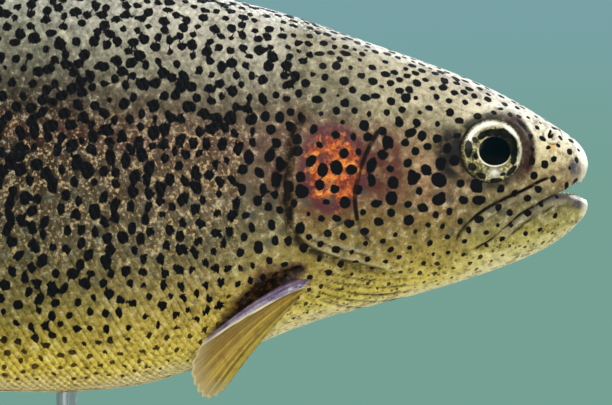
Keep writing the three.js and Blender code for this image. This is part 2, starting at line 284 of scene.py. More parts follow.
# Folds and grooves, each along a line on the side of the head. Distances from a line are positive on its
# far side, to the left of its run. A cut and its dark colour, painted shade in the groove: where they start,
# are deepest from and to, end, and their size. A ridge and its pale colour, a painted highlight: place, width
# and
# size. A step: width and size. Fade: the shares of the line over which it comes in and goes out. Gather: how
# far out the mesh is drawn in to it.
folds = {
    "gillOpening": {
        "line": [(62, 23.4), (69, 20.6), (75.3, 16.8), (79.3, 13.6), (81.6, 9.5), (82.5, 3.5), (82.9, -3.1),
                 (82.9, -9.2), (82.3, -14), (80.2, -18), (76.3, -21), (70.3, -23.4), (63.9, -25.2),
                 (56.9, -26.9), (48, -29.4)],
        "cut": (-0.9, 0.7, 1.1, 4.4, -1.25), "ridge": (-3.6, 3.2, 0.25), "step": (0.9, -0.35), "stepBack": 8,
        "fade": (0.34, 0.2), "dark": (-1.3, 0.6, 1.2, 3.9, 0.9), "pale": (-0.9, 0.45, 0.32), "gather": 3.0},
    "preopercle": {
        "line": [(57.5, 14.5), (59.6, 10.4), (62.6, 4.5), (64.6, -2), (65.3, -6.5), (65, -11), (63.8, -15.3),
                 (60.6, -19.3), (55.2, -22), (48.5, -23.4)],
        "cut": (-0.5, 0.0, 0.5, 1.4, -0.6), "ridge": (-1.4, 1.3, 0.18), "fade": (0.1, 0.55),
        "dark": (-0.55, -0.1, 0.45, 1.25, 1.0), "gather": 2.5},
    "subopercle": {
        "line": [(65.2, -11.5), (70.5, -14.5), (76, -17.5), (80, -18.3)],
        "cut": (-0.4, 0.0, 0.2, 0.8, -0.35), "ridge": (-1.0, 0.9, 0.12), "fade": (0.2, 0.3),
        "dark": (-0.4, 0.0, 0.2, 0.7, 0.5), "gather": 1.5},
    "gillEdgeFold": {
        "line": [(80.5, -16.5), (76, -18.6), (70, -20.6), (63, -22.3), (56, -24)],
        "cut": (-0.3, 0.1, 0.3, 1.0, -0.5), "ridge": (-0.9, 0.7, 0.16), "fade": (0.15, 0.35),
        "dark": (-0.3, 0.0, 0.3, 0.8, 0.7), "pale": (-0.9, 0.6, 0.26), "gather": 1.4},
    "maxillaTop": {
        "line": [(9.6, -0.2), (11.4, -1.1), (14, -2.1), (16.8, -3.7), (20.3, -5.4), (24.4, -7.3),
                 (28.6, -9.5), (31.9, -11.8), (34.9, -14.8), (37.1, -18), (36.6, -20.8), (33.9, -21.9)],
        "cut": (-0.6, -0.1, 0.1, 0.9, -0.95), "ridge": (-1.5, 0.8, 0.3), "fade": (0.1, 0.22),
        "dark": (-0.6, -0.15, 0.1, 0.8, 0.84), "pale": (-1.4, 0.7, 0.12), "gather": 2.2},
    "maxillaRib": {
        "line": [(14, -4.4), (19, -7.0), (24, -9.6), (29.5, -13.4), (33.6, -17.2)],
        "cut": (-0.5, 0.0, 0.1, 0.8, -0.3), "ridge": (-1.1, 0.9, 0.16), "fade": (0.25, 0.35),
        "dark": (-0.5, 0.0, 0.1, 0.6, 0.5), "gather": 0},
    "jawLip": {
        "line": [(2.4, -8.2), (5.9, -7.9), (10, -8.3), (14, -10.0), (18, -12.4), (22, -15.8), (26, -19.2),
                 (31, -22.2)],
        "cut": (-1.5, -1.0, -0.8, -0.2, -0.4), "ridge": (0.6, 0.8, 0.17), "fade": (0.15, 0.35),
        "dark": (-1.5, -1.05, -0.9, -0.3, 0.7), "pale": (0.5, 0.7, 0.12), "gather": 1.6},
    "jawFold": {
        "line": [(36.5, -19), (38.4, -22.5), (38.2, -26.5), (36.4, -29.8)],
        "cut": (-0.9, 0.0, 0.1, 1.2, -0.4), "ridge": (1.8, 1.1, 0.15), "fade": (0.25, 0.3),
        "dark": (-0.8, 0.0, 0.1, 1.0, 0.4), "gather": 0},
    "eyeFront": {
        "line": [(25, 16.2), (20.4, 14.3), (17.2, 10.9), (16.2, 6.6), (17.2, 2.2), (20.4, -1.2)],
        "cut": (-0.9, -0.1, 0.1, 1.0, -0.3), "ridge": (1.8, 1.0, 0.12), "fade": (0.25, 0.25),
        "dark": (-1.4, -0.4, 0.2, 1.2, 0.6), "gather": 1.6},
    "eyeBehind": {
        "line": [(33, 17.6), (38.4, 13.6), (40.6, 7), (39.4, 0.6), (35, -4.4), (29, -6.6)],
        "cut": (-1.2, 0.0, 0.2, 1.4, -0.3), "ridge": (-2.0, 1.3, 0.16), "fade": (0.3, 0.3),
        "dark": (-1.0, 0.0, 0.3, 1.4, 0.2), "gather": 0},
    "cheekCanal": {
        "line": [(38, 15), (46, 12.6), (54, 13.4), (62, 17.5)],
        "cut": (-0.8, 0.0, 0.1, 0.9, -0.22), "ridge": (1.3, 0.9, 0.08), "fade": (0.3, 0.3),
        "dark": (-0.7, 0.0, 0.1, 0.8, 0.25), "gather": 0},
}
for number in range(5):  # the gill membrane's rays under the cheek
    drop = 2.1 * number
    folds["throatRay" + str(number)] = {
        "line": [(42 + 1.5 * number, -28.4 - drop * 0.85), (50 + number, -29.4 - drop * 0.9),
                 (60, -29.9 - drop * 0.95), (69, -28.6 - drop), (77.5, -25.8 - drop)],
        "cut": (-0.5, 0.0, 0.1, 0.9, -0.5), "ridge": (-1.0, 0.8, 0.22), "fade": (0.3, 0.12),
        "dark": (-0.5, 0.0, 0.1, 0.7, 0.65), "gather": 0}


def trench(far, shape):
    # A groove's cross-section.
    start, deep, rise, end, size = shape
    return size * smooth(start, deep, far) * (1 - smooth(rise, end, far))


def nearLine(line, s, z):
    # Signed distance to a line and how far along it the nearest place lies.
    p = splined(line, 8 * len(line))
    a, b = p[:-1], p[1:]
    d = b - a
    length = np.hypot(d[:, 0], d[:, 1])
    along = np.concatenate([[0], np.cumsum(length)])
    best = np.full(s.shape, 1e9)
    side = np.zeros(s.shape)
    where = np.zeros(s.shape)
    for k in range(len(a)):
        rs, rz = s - a[k, 0], z - a[k, 1]
        t = np.clip((rs * d[k, 0] + rz * d[k, 1]) / length[k] ** 2, 0, 1)
        far = np.hypot(rs - t * d[k, 0], rz - t * d[k, 1])
        closer = far < best - 1e-9
        cross = d[k, 0] * rz - d[k, 1] * rs
        best = np.where(closer, far, best)
        side = np.where(closer, np.sign(cross), side)
        where = np.where(closer, (along[k] + t * length[k]) / along[-1], where)
    return best * np.where(side == 0, 1, side), where


def foldStrength(fold, where):
    start, end = fold["fade"]
    return smooth(0, start, where) * (1 - smooth(1 - end, 1, where))


def gatheredTo(s, z, keep):
    # Draws mesh lines together along the sharp folds. keep is 0 where a point must stay.
    for fold in folds.values():
        reach = fold["gather"]
        if not reach:
            continue
        step = 0.05
        far, where = nearLine(fold["line"], s, z)
        farS = nearLine(fold["line"], s + step, z)[0]
        farZ = nearLine(fold["line"], s, z + step)[0]
        slopeS, slopeZ = (farS - far) / step, (farZ - far) / step
        steep = np.maximum(np.hypot(slopeS, slopeZ), 0.5)
        near = np.clip(np.abs(far) / reach, 1e-6, 1)
        move = np.where(near < 1, far * (near ** 0.55 - 1), 0) * foldStrength(fold, where) * keep
        move = np.where(np.hypot(slopeS, slopeZ) > 1.3, 0, move)
        s, z = s + move * slopeS / steep, z + move * slopeZ / steep
    for centre, radius, reach in ((eye["at"], eye["seen"], 2.4), (nostril["at"], nostril["radius"], 1.2)):
        rs, rz = s - centre[0], z - centre[1]
        r = np.maximum(np.hypot(rs, rz), 1e-6)
        near = np.clip(np.abs(r - radius) / reach, 1e-6, 1)
        move = np.where(near < 1, (r - radius) * (near ** 0.5 - 1), 0) * keep
        s, z = s + move * rs / r, z + move * rz / r
    return s, z


def headRelief(s, z, lower):
    # Height over the smooth head, and the painted shade and painted highlight that each fold lays on the
    # skin.
    height, dark, pale = np.zeros(s.shape), np.zeros(s.shape), np.zeros(s.shape)
    for name, fold in folds.items():
        far, where = nearLine(fold["line"], s, z)
        strength = foldStrength(fold, where)
        if name == "maxillaTop":
            strength = strength * (~lower)
        if name == "jawLip":
            strength = strength * lower
        height += trench(far, fold["cut"]) * strength
        middle, width, size = fold["ridge"]
        height += size * hump(far, middle, width) * strength
        if "step" in fold:
            width, size = fold["step"]
            height += size * smooth(-width, width, far) * (1 - smooth(1.5, fold["stepBack"], far)) * strength
        # painted shade in each groove and a painted highlight along its ridge
        soft = 1 - 0.24 * smooth(0.46, 0.62, where) if name == "gillOpening" else 1
        dark = np.maximum(dark, trench(far, fold["dark"]) * strength * soft)
        if "pale" in fold:
            middle, width, size = fold["pale"]
            low = smooth(0.5, 0.68, where) if name == "gillOpening" else 1
            pale = np.maximum(pale, size * hump(far, middle, width) * strength * low)
    # the lips round into the mouth, and the upper one laps over the lower
    ahead = s < body["mouthCorner"] + 4
    overUpper, overLower = z - upperLip(s), lowerLip(s) - z
    fadeBack = 1 - smooth(body["mouthCorner"] - 4, body["mouthCorner"] + 0.4, s)
    front = 1 - smooth(6, 12, s)
    rolled = -0.4 * hump(overUpper, 0, 0.45) + 0.16 * hump(overUpper, 1.2, 0.9)
    height += np.where(ahead & ~lower, rolled, 0) * fadeBack
    tuck = (0.4 * front + 0.95 * (1 - front)) * smooth(0, 6, body["mouthCorner"] - s)
    height += np.where(ahead & lower, -tuck * (1 - smooth(0, 1.5, overLower)), 0) * fadeBack
    # painted shade along the lips' edges, where they meet and turn into the mouth
    edge = 0.97 * (1 - front) * (1 - smooth(0.2, 1.15, np.where(lower, overLower, overUpper * 2)))
    dark = np.maximum(dark, np.where(ahead, edge, 0) * fadeBack)
    # nostril: a rimmed pit with a flap across it
    rs, rz = s - nostril["at"][0], z - nostril["at"][1]
    r = np.hypot(rs, rz * 1.1)
    radius = nostril["radius"]
    height += -1.9 * (1 - smooth(radius * 0.55, radius, r)) + 0.22 * hump(r, radius * 1.35, 0.5)
    height += 1.25 * hump(rs * 0.8 + rz * 0.6, -0.1, 0.3) * (1 - smooth(radius * 0.8, radius * 1.1, r))
    # painted shade in the nostril's pit, then a dark ring round the rim and a pale ring on it
    dark = np.maximum(dark, 1 - smooth(radius * 0.55, radius * 0.9, r))
    dark = np.maximum(dark, 0.6 * hump(r, radius * 1.8, 0.3))
    pale = np.maximum(pale, 0.95 * hump(r, radius * 1.28, 0.36))
    return height, dark, pale


def eyePlane(s):
    return eye["out"] + eye["depth"] * 0.47 + (s - eye["at"][0]) * math.tan(eye["faceForward"])


def regionValue(s, v, *rows):
    # Blends rows of values, each from belly to back, for stations along the fish.
    levels = np.linspace(0, 1, len(rows[0]))
    values = [np.interp(v, levels, row) for row in rows]
    result = values[0]
    for (start, end), value in zip(spots["blends"], values[1:]):
        result = result + (value - result) * smooth(start, end, s)
    return result


spots = {
    # spacing, size and height to width in mm at belly, low side, cheek or mid side, upper side and back:
    # on the head, behind the gills, at the thickest part and near the tail
    "blends": ((68, 92), (105, 160), (190, 330)),
    "spacing": ((4.0, 4.0, 4.8, 3.5, 2.9), (4.2, 3.9, 3.8, 3.5, 3.1), (3.9, 3.9, 4.0, 3.5, 3.05),
                (6.5, 5.6, 5.2, 4.9, 4.4)),
    "radius": ((0.34, 0.84, 1.5, 1.04, 0.82), (0.45, 1.0, 1.32, 1.16, 1.02), (0.5, 1.2, 1.52, 1.21, 1.12),
               (0.7, 1.1, 1.45, 1.35, 1.2)),
    "tall": ((1.0, 0.95, 1.05, 0.95, 0.9), (1.05, 1.4, 1.4, 1.1, 0.95), (1.15, 1.4, 1.5, 1.1, 0.95),
             (1.1, 1.25, 1.3, 1.2, 1.1)),
    "tries": 32000,
    "closest": 0.83,      # of the spacing
    "eyeClear": 10.2,
    "joined": 0.09,       # share of spots that a bridge joins to the nearest one
    "joinWithin": 4.6,
}


def levelAt(s, share):
    z = sectionPoint(s, angleAtShare(s, share))[1]
    top, bottom = sectionSizes(s)[:2]
    return (z - bottom) / (top - bottom)


def frameAt(s, share):
    # Place on the left side and two unit directions in the skin: rearward, and downward round the body.
    def at(s, share):
        y, z = sectionPoint(s, angleAtShare(s, share))
        return np.stack([s, y, z], -1)
    here = at(s, share)
    rear = at(np.minimum(s + 0.6, 399.9), share) - at(np.maximum(s - 0.6, 0), share)
    around = at(s, np.minimum(share + 0.6 / girth(s), 1)) - at(s, np.maximum(share - 0.6 / girth(s), 0))
    around /= np.maximum(np.linalg.norm(around, axis=-1, keepdims=True), 1e-9)
    out = np.cross(rear, around)
    out /= np.maximum(np.linalg.norm(out, axis=-1, keepdims=True), 1e-9)
    rear = np.cross(around, out)
    return here, rear, around


def scatterSpots(taken):
    # Spots on one side as overlapping round lobes, keeping clear of places already taken.
    s = body["standardLength"] * rng.random(spots["tries"]) ** 1.08
    share = rng.random(len(s))
    keep = rng.random(len(s)) < girth(s) / girths.max()
    s, share = s[keep], share[keep]
    v = levelAt(s, share)
    here, rear, around = frameAt(s, share)
    spacing = regionValue(s, v, *spots["spacing"])
    vary = np.clip(rng.normal(1, np.interp(s, [70, 100], [0.22, 0.17])), 0.45, 1.4)
    radius = regionValue(s, v, *spots["radius"]) * vary * np.interp(s, [10, 34], [0.68, 1])
    tall = regionValue(s, v, *spots["tall"]) * np.clip(rng.normal(1, 0.18, len(s)), 0.65, 1.6)
    bare = (v < 0.03) | ((s < 9) & (v < 0.45)) | (s < 2.5) | (s > 398)
    bare |= np.hypot(s - eye["at"][0], here[:, 2] - eye["at"][1]) < spots["eyeClear"]
    places = np.full((6000, 3), 1e6)
    places[:len(taken)] = taken
    used, kept = len(taken), []
    for i in np.flatnonzero(~bare):
        if ((places[:used] - here[i]) ** 2).sum(1).min(initial=1e9) > (spacing[i] * spots["closest"]) ** 2:
            kept.append(i)
            places[used] = here[i]
            used += 1
    lobes = []
    for n, i in enumerate(kept):
        onBody = smooth(78, 98, s[i])
        turn = rng.normal(0, 0.3)
        ahead = rear[i] * math.cos(turn) + around[i] * math.sin(turn)
        down = around[i] * math.cos(turn) - rear[i] * math.sin(turn)
        root = math.sqrt(tall[i])
        lobes.append((*here[i], *ahead, *down, radius[i] / root, radius[i] * root))
        for lobe in range(rng.integers(1, 4) if rng.random() < 0.5 + 0.4 * onBody else 0):
            angle = rng.random() * 2 * math.pi
            off = radius[i] * (0.5 + 0.35 * rng.random())
            size = radius[i] * (0.4 + 0.22 * rng.random())
            centre = here[i] + ahead * off * math.cos(angle) / root + down * off * math.sin(angle) * root
            lobes.append((*centre, *ahead, *down, size, size))
        if n and rng.random() < spots["joined"] * onBody and v[i] > 0.35:
            first = places[len(taken):len(taken) + n]
            gap = np.linalg.norm(first - here[i], axis=1)
            other = first[np.argmin(gap)]
            if gap.min() < spots["joinWithin"]:
                for t in (0.3, 0.6):
                    size = radius[i] * 0.5
                    lobes.append((*(here[i] + (other - here[i]) * t), *ahead, *down, size, size))
    return np.array(lobes), places[len(taken):used]


def inSpot(points, near):
    # Each place in each lobe's own frame, where its edge is at 1, and the signed distance to that edge.
    d = points - near[..., :3]
    across = (d * near[..., 3:6]).sum(-1) / near[..., 9]
    tall = (d * near[..., 6:9]).sum(-1) / near[..., 10]
    lift = (d * np.cross(near[..., 3:6], near[..., 6:9])).sum(-1) / 3.0
    frame = np.stack([across, tall, lift], -1)
    return frame, (np.linalg.norm(frame, axis=-1) - 1) * np.minimum(near[..., 9], near[..., 10])


def nearestSpots(lobes, places, count):
    # The lobes whose edges lie nearest to each place, found in slabs along the fish.
    slab, reach = 4, 8
    found = np.zeros((len(places), count), int)
    for start in range(0, int(body["standardLength"]), slab):
        members = np.flatnonzero((places[:, 0] >= start) & (places[:, 0] < start + slab))
        near = np.flatnonzero(np.abs(lobes[:, 0] - start - slab / 2) < slab / 2 + reach)
        if len(members) and len(near) >= count:
            far = inSpot(places[members, None], lobes[None, near])[1]
            found[members] = near[np.argsort(far, 1)[:, :count]]
    return found


def distanceToSpots(lobes, points):
    # Signed distance to the nearest spot edge in mm, negative inside. Worked out in blocks along the fish and
    # up its side, each against the lobes within reach.
    slab, storey, reach, furthest = 3, 9, 4.5, 3.0
    slabs, lowest, highest = 135, -63, 63
    flat = points.reshape(-1, 3)
    result = np.full(len(flat), furthest)
    slabOf = (flat[:, 0] // slab).astype(int)
    order = np.argsort(slabOf, kind="stable")
    edges = np.searchsorted(slabOf[order], np.arange(slabs + 1))
    for b in range(slabs):
        members = order[edges[b]:edges[b + 1]]
        near = lobes[(lobes[:, 0] > slab * b - reach) & (lobes[:, 0] < slab * (b + 1) + reach)]
        if not len(members) or not len(near):
            continue
        for low in range(lowest, highest, storey):
            chosen = members[(flat[members, 2] >= low) & (flat[members, 2] < low + storey)]
            close = near[(near[:, 2] > low - reach) & (near[:, 2] < low + storey + reach)]
            if not len(chosen) or not len(close):
                continue
            result[chosen] = np.minimum(result[chosen], inSpot(flat[chosen, None], close[None])[1].min(1))
    return result.reshape(points.shape[:-1])


def mirrored(lobes):
    return lobes * np.array([1, -1, 1, 1, -1, 1, 1, -1, 1, 1, 1])


# mm between the skin's columns of points: fine on the head and growing wider along the trunk
columnSteps = {"noseEnd": 6.0, "headEnd": 94.0, "head": 0.45, "growth": 1.13, "widest": 3.9}


def columnPlaces():
    noseEnd, headEnd, step = columnSteps["noseEnd"], columnSteps["headEnd"], columnSteps["head"]
    nose = np.arange(0, math.sqrt(noseEnd), 0.075) ** 2
    head = np.arange(noseEnd, headEnd, step)
    trunk = [headEnd]
    while trunk[-1] < body["standardLength"] - 1:
        step = min(step * columnSteps["growth"], columnSteps["widest"])
        trunk.append(trunk[-1] + step)
    trunk = np.array(trunk)
    trunk = headEnd + (trunk - headEnd) * (body["standardLength"] - headEnd) / (trunk[-1] - headEnd)
    return np.concatenate([nose, head, trunk])


def skinHalf():
    # The left half of the skin as a grid. The row at the lips is doubled, so that the mouth opens there.
    s = columnPlaces()
    corner = int(np.searchsorted(s, body["mouthCorner"]))
    s[corner] = body["mouthCorner"]
    rows = body["rows"]
    atCorner = s[corner:corner + 1]
    cornerShare = shareAtAngle(atCorner, angleAt(atCorner, upperLip(atCorner)))[0]
    lipRow = int(round(rows * cornerShare))
    upperShare = shareAtAngle(s, angleAt(s, upperLip(s)))
    lowerShare = shareAtAngle(s, angleAt(s, lowerLip(s)))
    beyond = s >= body["mouthCorner"]
    upperShare = np.where(beyond, cornerShare, upperShare)
    lowerShare = np.where(beyond, cornerShare, lowerShare)
    over = upperShare[:, None] * np.linspace(0, 1, lipRow + 1)[None, :]
    under = lowerShare[:, None] + (1 - lowerShare[:, None]) * np.linspace(0, 1, rows - lipRow + 1)[None, :]
    share = np.hstack([over, under])
    behind = np.repeat(s[:, None], share.shape[1], 1)
    left, high = sectionPoint(behind, angleAtShare(behind, share))
    lower = np.zeros(share.shape, bool)
    lower[:, lipRow + 1:] = True
    row = np.arange(share.shape[1])
    fromLip = np.minimum(np.abs(row - lipRow), np.abs(row - lipRow - 1))
    keep = smooth(0, 6, row) * smooth(0, 6, row[-1] - row)
    keep = keep[None, :] * np.where(s[:, None] < body["mouthCorner"] + 3, smooth(0, 5, fromLip)[None, :], 1)
    keep = keep * smooth(0.5, 4, s)[:, None] * (1 - smooth(90, 94, s))[:, None]
    newBehind, newHigh = gatheredTo(behind, high, keep)
    moved = np.hypot(newBehind - behind, newHigh - high) > 1e-4
    left = np.where(moved, outAt(newBehind, newHigh), left)
    behind, high = np.where(moved, newBehind, behind), np.where(moved, newHigh, high)
    share = np.where(moved, shareAtAngle(behind, angleAt(behind, high)), share)
    return {"s": s, "behind": behind, "left": left, "high": high, "share": share, "lower": lower,
            "corner": corner, "lipRow": lipRow}


def gridNormals(grid):
    along = np.gradient(grid, axis=0)
    around = np.gradient(grid, axis=1)
    normal = np.cross(around, along)
    length = np.linalg.norm(normal, axis=-1, keepdims=True)
    return normal / np.maximum(length, 1e-12)


def noseRound(s, z, lower):
    # How far the rounded tips of snout and chin fall back behind the upright front of the outline.
    snout = np.interp(z, [-2.8, -2.0, -1.1, 0.5, 1.6, 2.6, 4.5], [2.0, 1.7, 1.2, 0.45, 0.15, 0.0, 0.0])
    chin = np.interp(
        z, [-12, -10.5, -9.4, -8.4, -7.5, -6.8, -6.2, -5.7], [0.0, 0.25, 0.15, 0.1, 0.35, 0.8, 1.4, 1.9])
    return np.where(lower, chin, snout) * (1 - smooth(0, 7.5, s))


eyeRim = {
    "flat": (9.2, 14.5),            # mm from the eye's middle between which the skin levels out to its rim
    "over": 0.12,
    "roll": (9.6, 0.7, 0.32),       # raised ring: radius, width, height
    "furrow": (11.2, 0.7, 0.15),
    "tuck": (7.9, 8.75, 4.5),       # the skin dips under the eyeball: to, from, depth
    "shadow": (8.6, 9.1, 0.95),
}


def reliefOnSkin(half):
    # The skin's points with folds, eye rims and rounded snout, with their painted shade, painted highlights
    # and lip colour.
    behind, left, high, lower = half["behind"], half["left"], half["high"], half["lower"]
    height, dark, pale = headRelief(behind, high, lower)
    far, where = nearLine(armpit["line"], behind, high)
    hollow = 1 - smooth(0.3, 1.2, np.abs(far) / np.interp(where, [0, 0.3, 1], armpit["reach"]))
    height = np.where(behind < 93, height - 1.5 * hollow * (1 - smooth(87, 92, behind)), 0)
    points = np.stack([-behind, left, high], -1)
    lipRow = half["lipRow"]
    normal = np.concatenate([gridNormals(points[:, :lipRow + 1]), gridNormals(points[:, lipRow + 1:])], 1)
    # behind the mouth the doubled lip row is one row
    joined = gridNormals(np.delete(points, lipRow + 1, 1))[half["corner"]:]
    normal[half["corner"]:] = joined[:, np.r_[0:lipRow + 1, lipRow:points.shape[1] - 1]]
    normal[:, 0, 1], normal[:, -1, 1] = 0, 0
    normal /= np.maximum(np.linalg.norm(normal, axis=-1, keepdims=True), 1e-9)
    near = np.clip(left / 2.0, 0, 1)  # folds fade at the middle lines
    points = points + normal * (height * near)[..., None]
    points[..., 0] -= noseRound(behind, high, lower)
    # eye: the skin meets the eyeball's rim and dips under it
    r = np.hypot(behind - eye["at"][0], high - eye["at"][1])
    level = 1 - smooth(*eyeRim["flat"], r)
    rim = eyePlane(behind) + eyeRim["over"]
    points[..., 1] = np.where(level > 0, points[..., 1] + (rim - left) * level * 0.85, points[..., 1])
    radius, width, height = eyeRim["roll"]
    outer, outerWidth, depth = eyeRim["furrow"]
    points[..., 1] += height * hump(r, radius, width) - depth * hump(r, outer, outerWidth)
    inner, outer, depth = eyeRim["tuck"]
    points[..., 1] -= depth * (1 - smooth(inner, outer, r))
    inner, outer, share = eyeRim["shadow"]
    dark = np.maximum(dark, share * (1 - smooth(inner, outer, r)))
    # painted highlights: a pale rim round the snout's tip and along the middle line over the snout
    pale = np.maximum(pale, (1 - smooth(0.3, 2.8, behind)) * (1 - smooth(4, 8, left)))
    pale = np.maximum(pale, 0.5 * (1 - smooth(0.5, 4.5, left)) * (1 - smooth(3, 14, behind)) * (~lower))
    under = lowerLip(behind) - high
    lip = lower * smooth(0.3, 0.9, under) * (1 - smooth(1.2, 2.3, under))
    lip = lip * smooth(2.5, 5, behind) * (1 - smooth(17, 27, behind))
    lip = np.maximum(lip, (~lower) * (1 - smooth(0.5, 1.15, fromPatch("snoutTip", behind, high))))
    lip = np.maximum(lip, lower * (1 - smooth(0.5, 1.15, fromPatch("chinTip", behind, high))))
    return points, dark, pale, lip


facePatches = {
    # mm from the snout to the patch's middle, height of that over the centre line, half length, half height
    "blush": (71.6, 1.4, 9.0, 11.8),
    "rustAhead": (58.5, 2.5, 9.5, 13.0),
    "rustBelow": (72.5, -5.5, 11.0, 9.0),
    "rustBehind": (87.0, -2.0, 8.0, 17.0),
    "behindEye": (38.8, 5.2, 5.8, 10.0),
    "nostrilFlap": (10.3, 7.7, 2.2, 1.5),
    "snoutTip": (4.2, 1.7, 2.1, 3.3),
    "chinTip": (3.0, -8.3, 2.2, 1.8),
}


def fromPatch(name, s, z):
    # How far out from a patch's middle each place lies, with the patch's edge at 1.
    middle, height, halfLong, halfTall = facePatches[name]
    return np.hypot((s - middle) / halfLong, (z - height) / halfTall)


def markings(points, v, lobes, ghosts):
    # What the colours need at each place on the left side, alike for skin and scales.
    s, z = points[..., 0], points[..., 2]
    rusty = np.minimum(fromPatch("rustAhead", s, z), 0.1 + fromPatch("rustBelow", s, z))
    rusty = np.minimum(rusty, 0.55 + fromPatch("rustBehind", s, z))
    behindEye = 1 - smooth(0.5, 1.2, fromPatch("behindEye", s, z))
    fromEye = np.hypot(s - eye["at"][0], z - eye["at"][1])
    forward = np.clip((eye["at"][0] - s - 0.25 * (eye["at"][1] - z)) / np.maximum(fromEye, 1e-6), -1, 1)
    turn = np.degrees(np.arctan2(z - eye["at"][1], eye["at"][0] - s))
    # painted shade in a ring round the eye, widest behind it
    lid = np.interp(turn, *shadeRoundEye) * (1 - smooth(9.8, 11.6 + 2.0 * smooth(110, 160, np.abs(turn)), fromEye))
    far, where = nearLine(armpit["line"], s, z)
    reach = np.interp(where, [0, 0.3, 1], armpit["reach"])
    return {
        "along": s / body["standardLength"],
        "level": v,
        "spot": distanceToSpots(lobes, points),
        "ghost": distanceToSpots(ghosts, points),
        "blush": 1 - smooth(0.45, 1.25, fromPatch("blush", s, z)),
        "rust": 1 - smooth(0.4, 1.2, rusty),
        "eyeShade": np.maximum(behindEye * (s > 30), lid),
        "wine": (1 - smooth(11.6, 13.4, fromEye)) * smooth(0.35, 0.75, forward),
        "axil": 1 - smooth(0.2, 3.0, np.abs(far) / reach),
        "flap": 1 - smooth(0.3, 1.2, fromPatch("nostrilFlap", s, z)),
    }


# the hollow above the pectoral fin: a dent in the skin, and the line of the painted shade in it
armpit = {
    "line": [(80.5, -26.6), (85, -28.8), (90, -32.4), (96, -37.5), (103, -44.5)],
    "reach": (1.2, 3.2, 1.7),
}
# painted shade round the eye: how dark the skin is, by degrees up from straight ahead
shadeRoundEye = ([-180, -150, -120, -90, -60, -30, 0, 30, 60, 90, 125, 150, 180],
          [1.0, 1.0, 0.8, 0.9, 0.8, 0.6, 0.5, 0.5, 0.75, 0.95, 0.95, 1.0, 1.0])


mouth = {"palate": 4.2, "floor": 3.6, "tongue": 2.6, "tongueHalfWidth": (2.2, 4.6)}    # mm


def mouthStrip(half, skinPoints, upper):
    # Palate or mouth floor, from the left lip across to the right one.
    corner, lipRow = half["corner"], half["lipRow"]
    s = half["s"][:corner + 1]
    lip = skinPoints[:corner + 1, lipRow if upper else lipRow + 1]
    inward = np.array([0, 0.25, 0.6, 1.1, 1.8, 2.8, 4.2, 6.0, 8.5, 12.0, 17.0]) / 17.0
    halfAcross = np.concatenate([1 - inward, [0.0]])
    across = np.concatenate([halfAcross, -halfAcross[:-1][::-1]])
    y = lip[:, 1:2] * across[None, :]
    depth = lip[:, 1:2] * (1 - np.abs(across))[None, :]
    room = smooth(1.0, 5.5, s) * (1 - smooth(26, body["mouthCorner"], s))
    rise = smooth(0.5, 4.0, depth) * room[:, None]
    z = lip[:, 2:3] + rise * (mouth["palate"] if upper else -mouth["floor"])
    if not upper:
        tongue = 1 - smooth(*mouth["tongueHalfWidth"], np.abs(y))
        z += mouth["tongue"] * room[:, None] * tongue * smooth(8, 12, s)[:, None]
    x = np.repeat(lip[:, 0:1], y.shape[1], 1)
    return np.stack([x, y, z], -1)


def fishToWorld(points):
    return place(-points[..., 0], points[..., 1], points[..., 2])


def bakeMap(s, share, side):
    # Left and right sides lie one over the other, with the head drawn larger than the trunk.
    along = np.interp(s, [0, 95, 400], [0.01, 0.74, 0.99])
    up = 0.012 + 0.476 * share
    return np.stack([along, up if side > 0 else 1 - up], -1)


def buildSkin(lobes, ghosts):
    half = skinHalf()
    skinPoints, dark, pale, lip = reliefOnSkin(half)
    behind, share = half["behind"], half["share"]
    columns, rows = behind.shape
    top, bottom = sectionSizes(behind)[:2]
    v = np.clip((half["high"] - bottom) / (top - bottom), 0, 1)
    flat = np.stack([behind, half["left"], half["high"]], -1)
    points, quads, uvs, parts = [], [], [], []
    start = 0
    for side in (1, -1):
        marks = markings(flat, v, lobes[side], ghosts[side])
        marks |= {"dark": dark, "pale": pale, "lip": lip, "inside": np.zeros(behind.shape)}
        names = tuple(marks)
        lipRow = half["lipRow"]
        grid = gridFaces(columns, rows, start, flip=side > 0)
        grid = grid[np.arange(len(grid)) % (rows - 1) != lipRow]  # no face across the mouth
        uv = bakeMap(behind, share, side).reshape(-1, 2)
        uvs.append(uv[grid - start])
        quads.append(grid)
        points.append((skinPoints * np.array([1, side, 1])).reshape(-1, 3))
        parts.append({k: marks[k].ravel() for k in names})
        start += behind.size
    for upper in (True, False):
        strip = mouthStrip(half, skinPoints, upper)
        n, m = strip.shape[:2]
        grid = gridFaces(n, m, start, flip=not upper)
        u = np.linspace(0.01, 0.12, n)[:, None] + np.zeros((1, m))
        w = (0.5 + (0.008 if upper else -0.008) * np.linspace(0, 1, m))[None, :] + np.zeros((n, 1))
        uvs.append(np.stack([u, w], -1).reshape(-1, 2)[grid - start])
        quads.append(grid)
        points.append(strip.reshape(-1, 3))
        zero = np.zeros(n * m)
        fromMiddle = np.abs(np.arange(m) - (m - 1) / 2) / ((m - 1) / 2)
        marks = dict.fromkeys(names, zero)
        marks |= {"spot": zero + 3, "ghost": zero + 3, "level": zero + 0.4,
                  "inside": np.tile(1 - smooth(0.86, 1.0, fromMiddle), n),
                  "along": np.repeat(half["s"][:n] / body["standardLength"], m)}
        parts.append(marks)
        start += n * m
    points = np.concatenate(points)
    values = {k: np.concatenate([p[k] for p in parts]) for k in names}
    end = behind.size - rows  # the last column closes on the middle plane
    for base in (0, behind.size):
        points[base + end:base + behind.size, 1] = 0
    points = fishToWorld(points)
    points, faces, values, corners = welded(points, np.concatenate(quads), values, np.concatenate(uvs))
    skin = makeObject("skin", points, faces, values, corners)
    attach(skin, "root")
    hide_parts("head", "lower_jaw", "gill_cover_left", "gill_cover_right", "trunk_front",
                "trunk_middle", "trunk_rear", "tail_stem")
    print("skin", len(points), "points", sum(len(f) * (f.shape[1] - 2) for f in faces), "triangles")
    return skin


